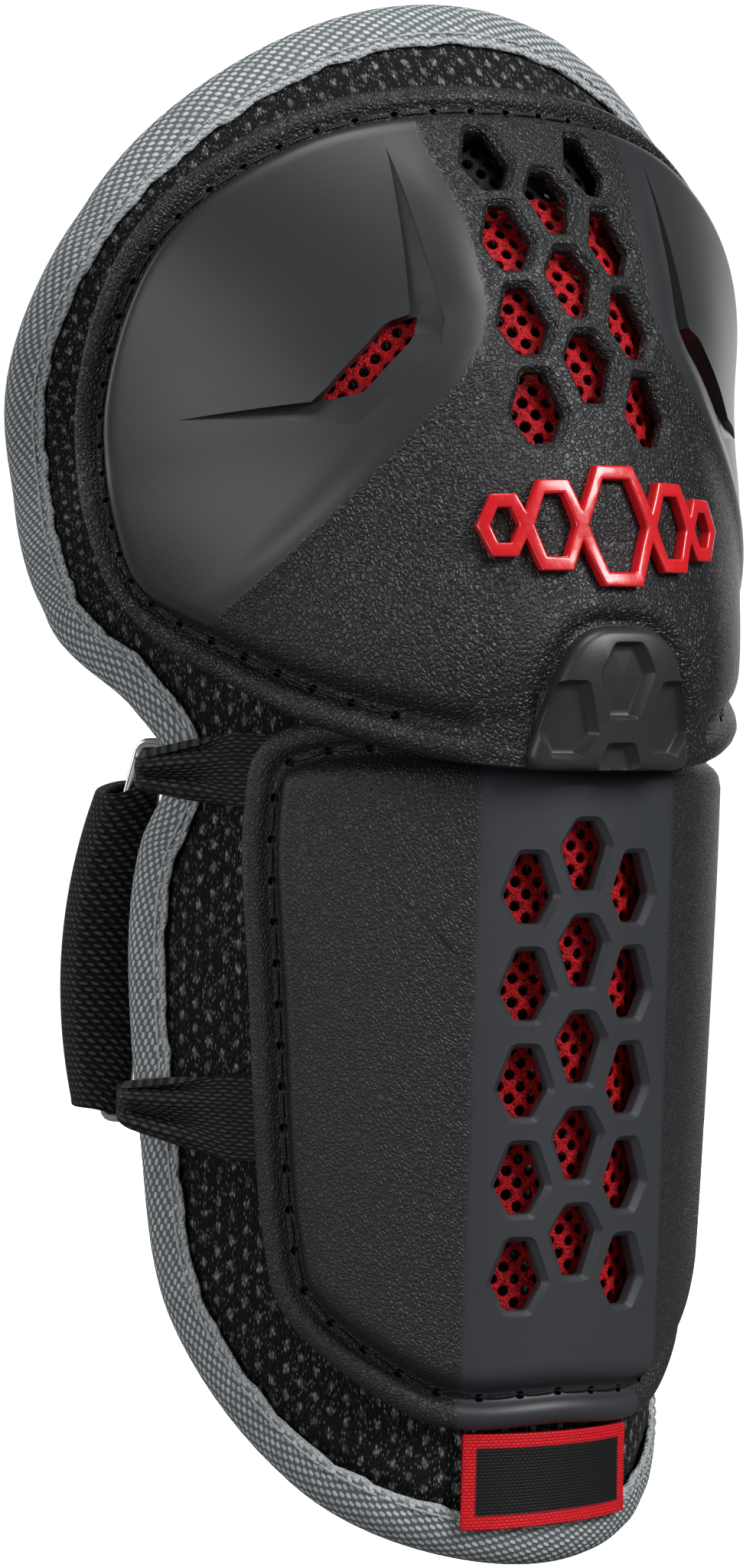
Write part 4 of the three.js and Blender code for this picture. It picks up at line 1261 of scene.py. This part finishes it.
def strapPath():
    mid = (strap["top"] + strap["foot"]) / 2
    starts = np.linspace(strap["rightStart"], strap["rightEnd"], strap["marginSteps"])
    margin = wrap(starts, mid, strap["marginHeight"])[:, :2] / mm
    bar = ringPoint(ring["across"], mid)[:2] / mm
    turn = ring["wire"] + strap["foldClearance"] + strap["thickness"] / 2
    innerX, outerX = bar[0] + turn + strap["ease"], bar[0] - turn
    angle = np.linspace(0, math.pi, strap["backSteps"])[1:]
    reach = np.where(angle < math.pi / 2, margin[-1][0], -innerX)
    back = np.stack([reach * np.cos(angle), bar[1] + strap["backDepth"] * np.sin(angle)], -1)
    bend = np.linspace(0, -math.pi, strap["foldSteps"])[1:]
    halfWidth = (innerX - outerX) / 2
    fold = np.stack([outerX + halfWidth * (1 + np.cos(bend)), bar[1] + turn * np.sin(bend)], -1)
    t = np.linspace(0, 1, strap["outerSteps"])[1:]
    angle = math.pi * (1 - strap["overlap"] / 2 * t)
    closed = smoothStep(t, 0, strap["closeShare"])
    spread = innerX - outerX + (strap["thickness"] + strap["layerGap"] - innerX + outerX) * closed
    normal = np.stack([strap["backDepth"] * np.cos(angle), -innerX * np.sin(angle)], -1)
    normal /= np.linalg.norm(normal, axis=1, keepdims=True)
    outer = np.stack([-innerX * np.cos(angle), bar[1] + strap["backDepth"] * np.sin(angle)], -1)
    outer += normal * spread[:, None]
    runs = [margin, back, fold, outer]
    lengths = [gaps(np.concatenate(runs[:k])).sum() for k in (2, 3, 4)]
    return np.concatenate(runs), bar, lengths[0] / lengths[2], lengths[1] / lengths[2]


def slope(points):
    travel = points[1] - points[0]
    return travel[:2] / travel[2]


def makeStrap():
    path, bar, foldStart, foldEnd = strapPath()
    path = evenly(path, strap["along"] + 1, closed=False)
    length = gaps(path).sum()
    width = strap["top"] - strap["foot"]
    ends = np.array([ring["foot"], ring["top"]])
    barLean = slope(ringPoint(ring["across"], ends))
    marginLean = slope(wrap(strap["rightEnd"], ends, 0))
    bowEnds = np.array([ring["top"] - ring["corner"], ring["foot"] + ring["corner"]])
    bowTop, bowFoot = ringPoint(ring["across"], bowEnds)[:, 2] / mm

    def place(s, t):
        index = np.rint(s * strap["along"]).astype(int)
        point = path[index]
        side = smoothStep(point[:, 0], bar[0], -bar[0])[:, None]
        lean = barLean + (marginLean - barLean) * side
        shifted = point + lean * (width * (t - 0.5))[:, None]
        # the inner layer spreads beside the ring, the outer one dips below it
        inner = smoothStep(s, foldStart - strap["flare"], foldStart) * (1 - smoothStep(s, foldStart, foldEnd))
        outer = smoothStep(s, foldStart, foldEnd) * (1 - smoothStep(s, foldEnd, foldEnd + strap["flare"]))
        z = strap["foot"] + width * t + strap["innerRise"] * inner * t**6
        z = z - strap["innerDrop"] * inner * (1 - t)**6 - strap["outerDip"] * outer * t**4
        t1 = np.clip((bowTop - z) / (bowTop - bowFoot), 0, 1)
        bow = 4 * ring["bow"] * t1 * (1 - t1) * (1 - side[:, 0])
        points = np.c_[shifted, z] + bow[:, None] * ringAcross
        points[:, 0] -= 4 * strap["bulge"] * t * (1 - t) * smoothStep(s, foldStart, foldEnd)
        return points * mm, np.stack([s * length, t * width, 0 * s], -1)

    piece = band("strap_elastic", strap["along"], strap["across"], place, strap["thickness"])
    finishPiece(piece, elasticKnit, ["elastic_strap"])


makeStrap()


# Woven label: satin, a red border round a plain black field.
label = {"corners": [(-17, -134.6), (17.5, -133.4), (18, -117.4), (-17, -117.4)], "h": 1.4, "thickness": 0.9,
         "size": (35.0, 16.5), "border": 2.4, "blur": 0.2, "lift": 0.5, "wave": 0.15, "waves": 9,
         "depth": 0.15, "grid": (56, 28), "red": [(0.2, "#a00814"), (1.0, "#ff1c2a")],
         "black": [(0.2, "#030303"), (1.0, "#1c1c1f")]}


def labelWeave():
    material, add, shader = newMaterial("satin_woven_label", Roughness=0.55, Specular_IOR_Level=0.25)
    flat = add("Attribute", attribute_name="flat").outputs["Vector"]
    uv = add("SeparateXYZ", flat)
    margins = []
    for axis, size in zip("XY", label["size"]):
        half = add("Math", uv.outputs[axis], size / 2, operation="SUBTRACT")
        apart = add("Math", half, operation="ABSOLUTE")
        margins.append(add("Math", size / 2, apart, operation="SUBTRACT"))
    nearest = add("Math", *margins, operation="MINIMUM")
    border = add("MapRange", nearest, label["border"] + label["blur"], label["border"] - label["blur"])
    floats = add("TexBrick", flat, Color1=(0.6, 0.6, 0.6, 1), Color2=(1, 1, 1, 1),
                 Mortar=(0.25, 0.25, 0.25, 1), Scale=1.0, Brick_Width=0.9, Row_Height=0.55,
                 Mortar_Size=0.16, Mortar_Smooth=1.0)
    lit = add("SeparateColor", floats.outputs["Color"]).outputs[0]
    black, red = (add("ValToRGB", lit, ramp=label[key]) for key in ("black", "red"))
    shown = add("Mix", border, A_Color=black, B_Color=red, data_type="RGBA")
    relief = add("Bump", Height=lit, Distance=label["depth"] * mm)
    feed(shader, Base_Color=shown.outputs[2], Normal=relief)
    return material


def makeLabel():
    a, b, c, d = np.array(label["corners"], float)

    def place(s, t):
        s1, t1 = s[:, None], t[:, None]
        flat = (a + (b - a) * s1) * (1 - t1) + (d + (c - d) * s1) * t1
        rise = label["lift"] * (1 - t) ** 2 + label["wave"] * np.sin(s * label["waves"]) * (1 - t)
        points = wrap(*flat.T, label["h"] + rise)
        return points, np.stack([s * label["size"][0], t * label["size"][1], 0 * s], -1)

    piece = band("label_woven", *label["grid"], place, label["thickness"])
    finishPiece(piece, labelWeave(), ["woven_label"])


makeLabel()


# Camera at the photograph's angle: level, turned to the guard's left, one metre from the front of the waist.
view = {"turn": 35, "distance": 1.0, "scale": 0.135, "centre": (744, 1003), "frame": (988, 2048),
        "sensor": 36, "nearest": 0.05}
turn = math.radians(view["turn"])
forward = Vector((math.sin(turn), math.cos(turn), 0))
rightward = Vector((math.cos(turn), -math.sin(turn), 0))
waistFront = Vector((0, armForm["frontY"] * mm, 0))
cameraData = bpy.data.cameras.new("camera")
cameraData.sensor_width = view["sensor"]
cameraData.lens = cameraData.sensor_width * view["distance"] / (view["frame"][1] * view["scale"] * mm)
camera = bpy.data.objects.new("camera", cameraData)
scene.collection.objects.link(camera)
camera.location = waistFront - forward * view["distance"]
offCentre = [(view["frame"][k] / 2 - view["centre"][k]) * view["scale"] * mm for k in (0, 1)]
aim = forward * view["distance"] + rightward * offCentre[0] - Vector((0, 0, 1)) * offCentre[1]
camera.rotation_euler = aim.to_track_quat("-Z", "Y").to_euler()
cameraData.clip_start = view["nearest"]
scene.camera = camera


# Pale floor, white surround, large soft lights. Floor and surround are bright to the eye and dull as
# reflectors, so that they don't wash out the black cloth: each pair is for other rays, then for the camera's.
stage = {"radius": 30, "sides": 64, "drop": 0.012, "paint": ("#6a6a6a", "#f4f4f2"), "glow": (0.02, 1.0),
         "surround": (0.1, 1.1)}


def makeStage():
    bm = bmesh.new()
    bmesh.ops.create_circle(bm, cap_ends=True, segments=stage["sides"], radius=stage["radius"])
    bmesh.ops.translate(bm, verts=bm.verts, vec=(0, 0, cadLow.z - stage["drop"]))
    floor = objectOf(meshOf(bm, "floor"))
    material, add, shader = newMaterial("pale_floor", Roughness=0.9, Emission_Color=(1, 1, 1, 1))
    seen = add("LightPath").outputs["Is Camera Ray"]
    glow = add("MapRange", seen, 0.0, 1.0, *stage["glow"])
    dull, pale = (linear(code) for code in stage["paint"])
    paint = add("Mix", seen, A_Color=dull, B_Color=pale, data_type="RGBA")
    feed(shader, Emission_Strength=glow, Base_Color=paint.outputs[2])
    floor.data.materials.append(material)
    scene.world = bpy.data.worlds.new("surround")
    scene.world.use_nodes = True
    tree = scene.world.node_tree
    seen = addNode(tree, "LightPath").outputs["Is Camera Ray"]
    background = tree.nodes["Background"]
    background.inputs["Color"].default_value = (1, 1, 1, 1)
    feed(background, Strength=addNode(tree, "MapRange", seen, 0.0, 1.0, *stage["surround"]))


softLights = {
    "key_front": {"place": (0.5, -1.2, 0.75), "size": 0.7, "power": 20},
    "fill_left": {"place": (-1.3, -0.4, 0.0), "size": 1.0, "power": 9},
    "top": {"place": (-0.15, -0.25, 1.2), "size": 0.6, "power": 7},
    "back_card": {"place": (0.85, 1.1, 0.15), "size": 1.3, "power": 9},
    "back_left": {"place": (-0.7, 1.2, 0.4), "size": 0.8, "power": 5},
}


def addLight(name, row):
    data = bpy.data.lights.new(name, "AREA")
    data.shape, data.size, data.energy = "DISK", row["size"], row["power"]
    light = bpy.data.objects.new(name, data)
    scene.collection.objects.link(light)
    light.location = row["place"]
    light.rotation_euler = (-Vector(row["place"])).to_track_quat("-Z", "Y").to_euler()


makeStage()
for name, row in softLights.items():
    addLight(name, row)
scene.view_settings.view_transform = "Standard"
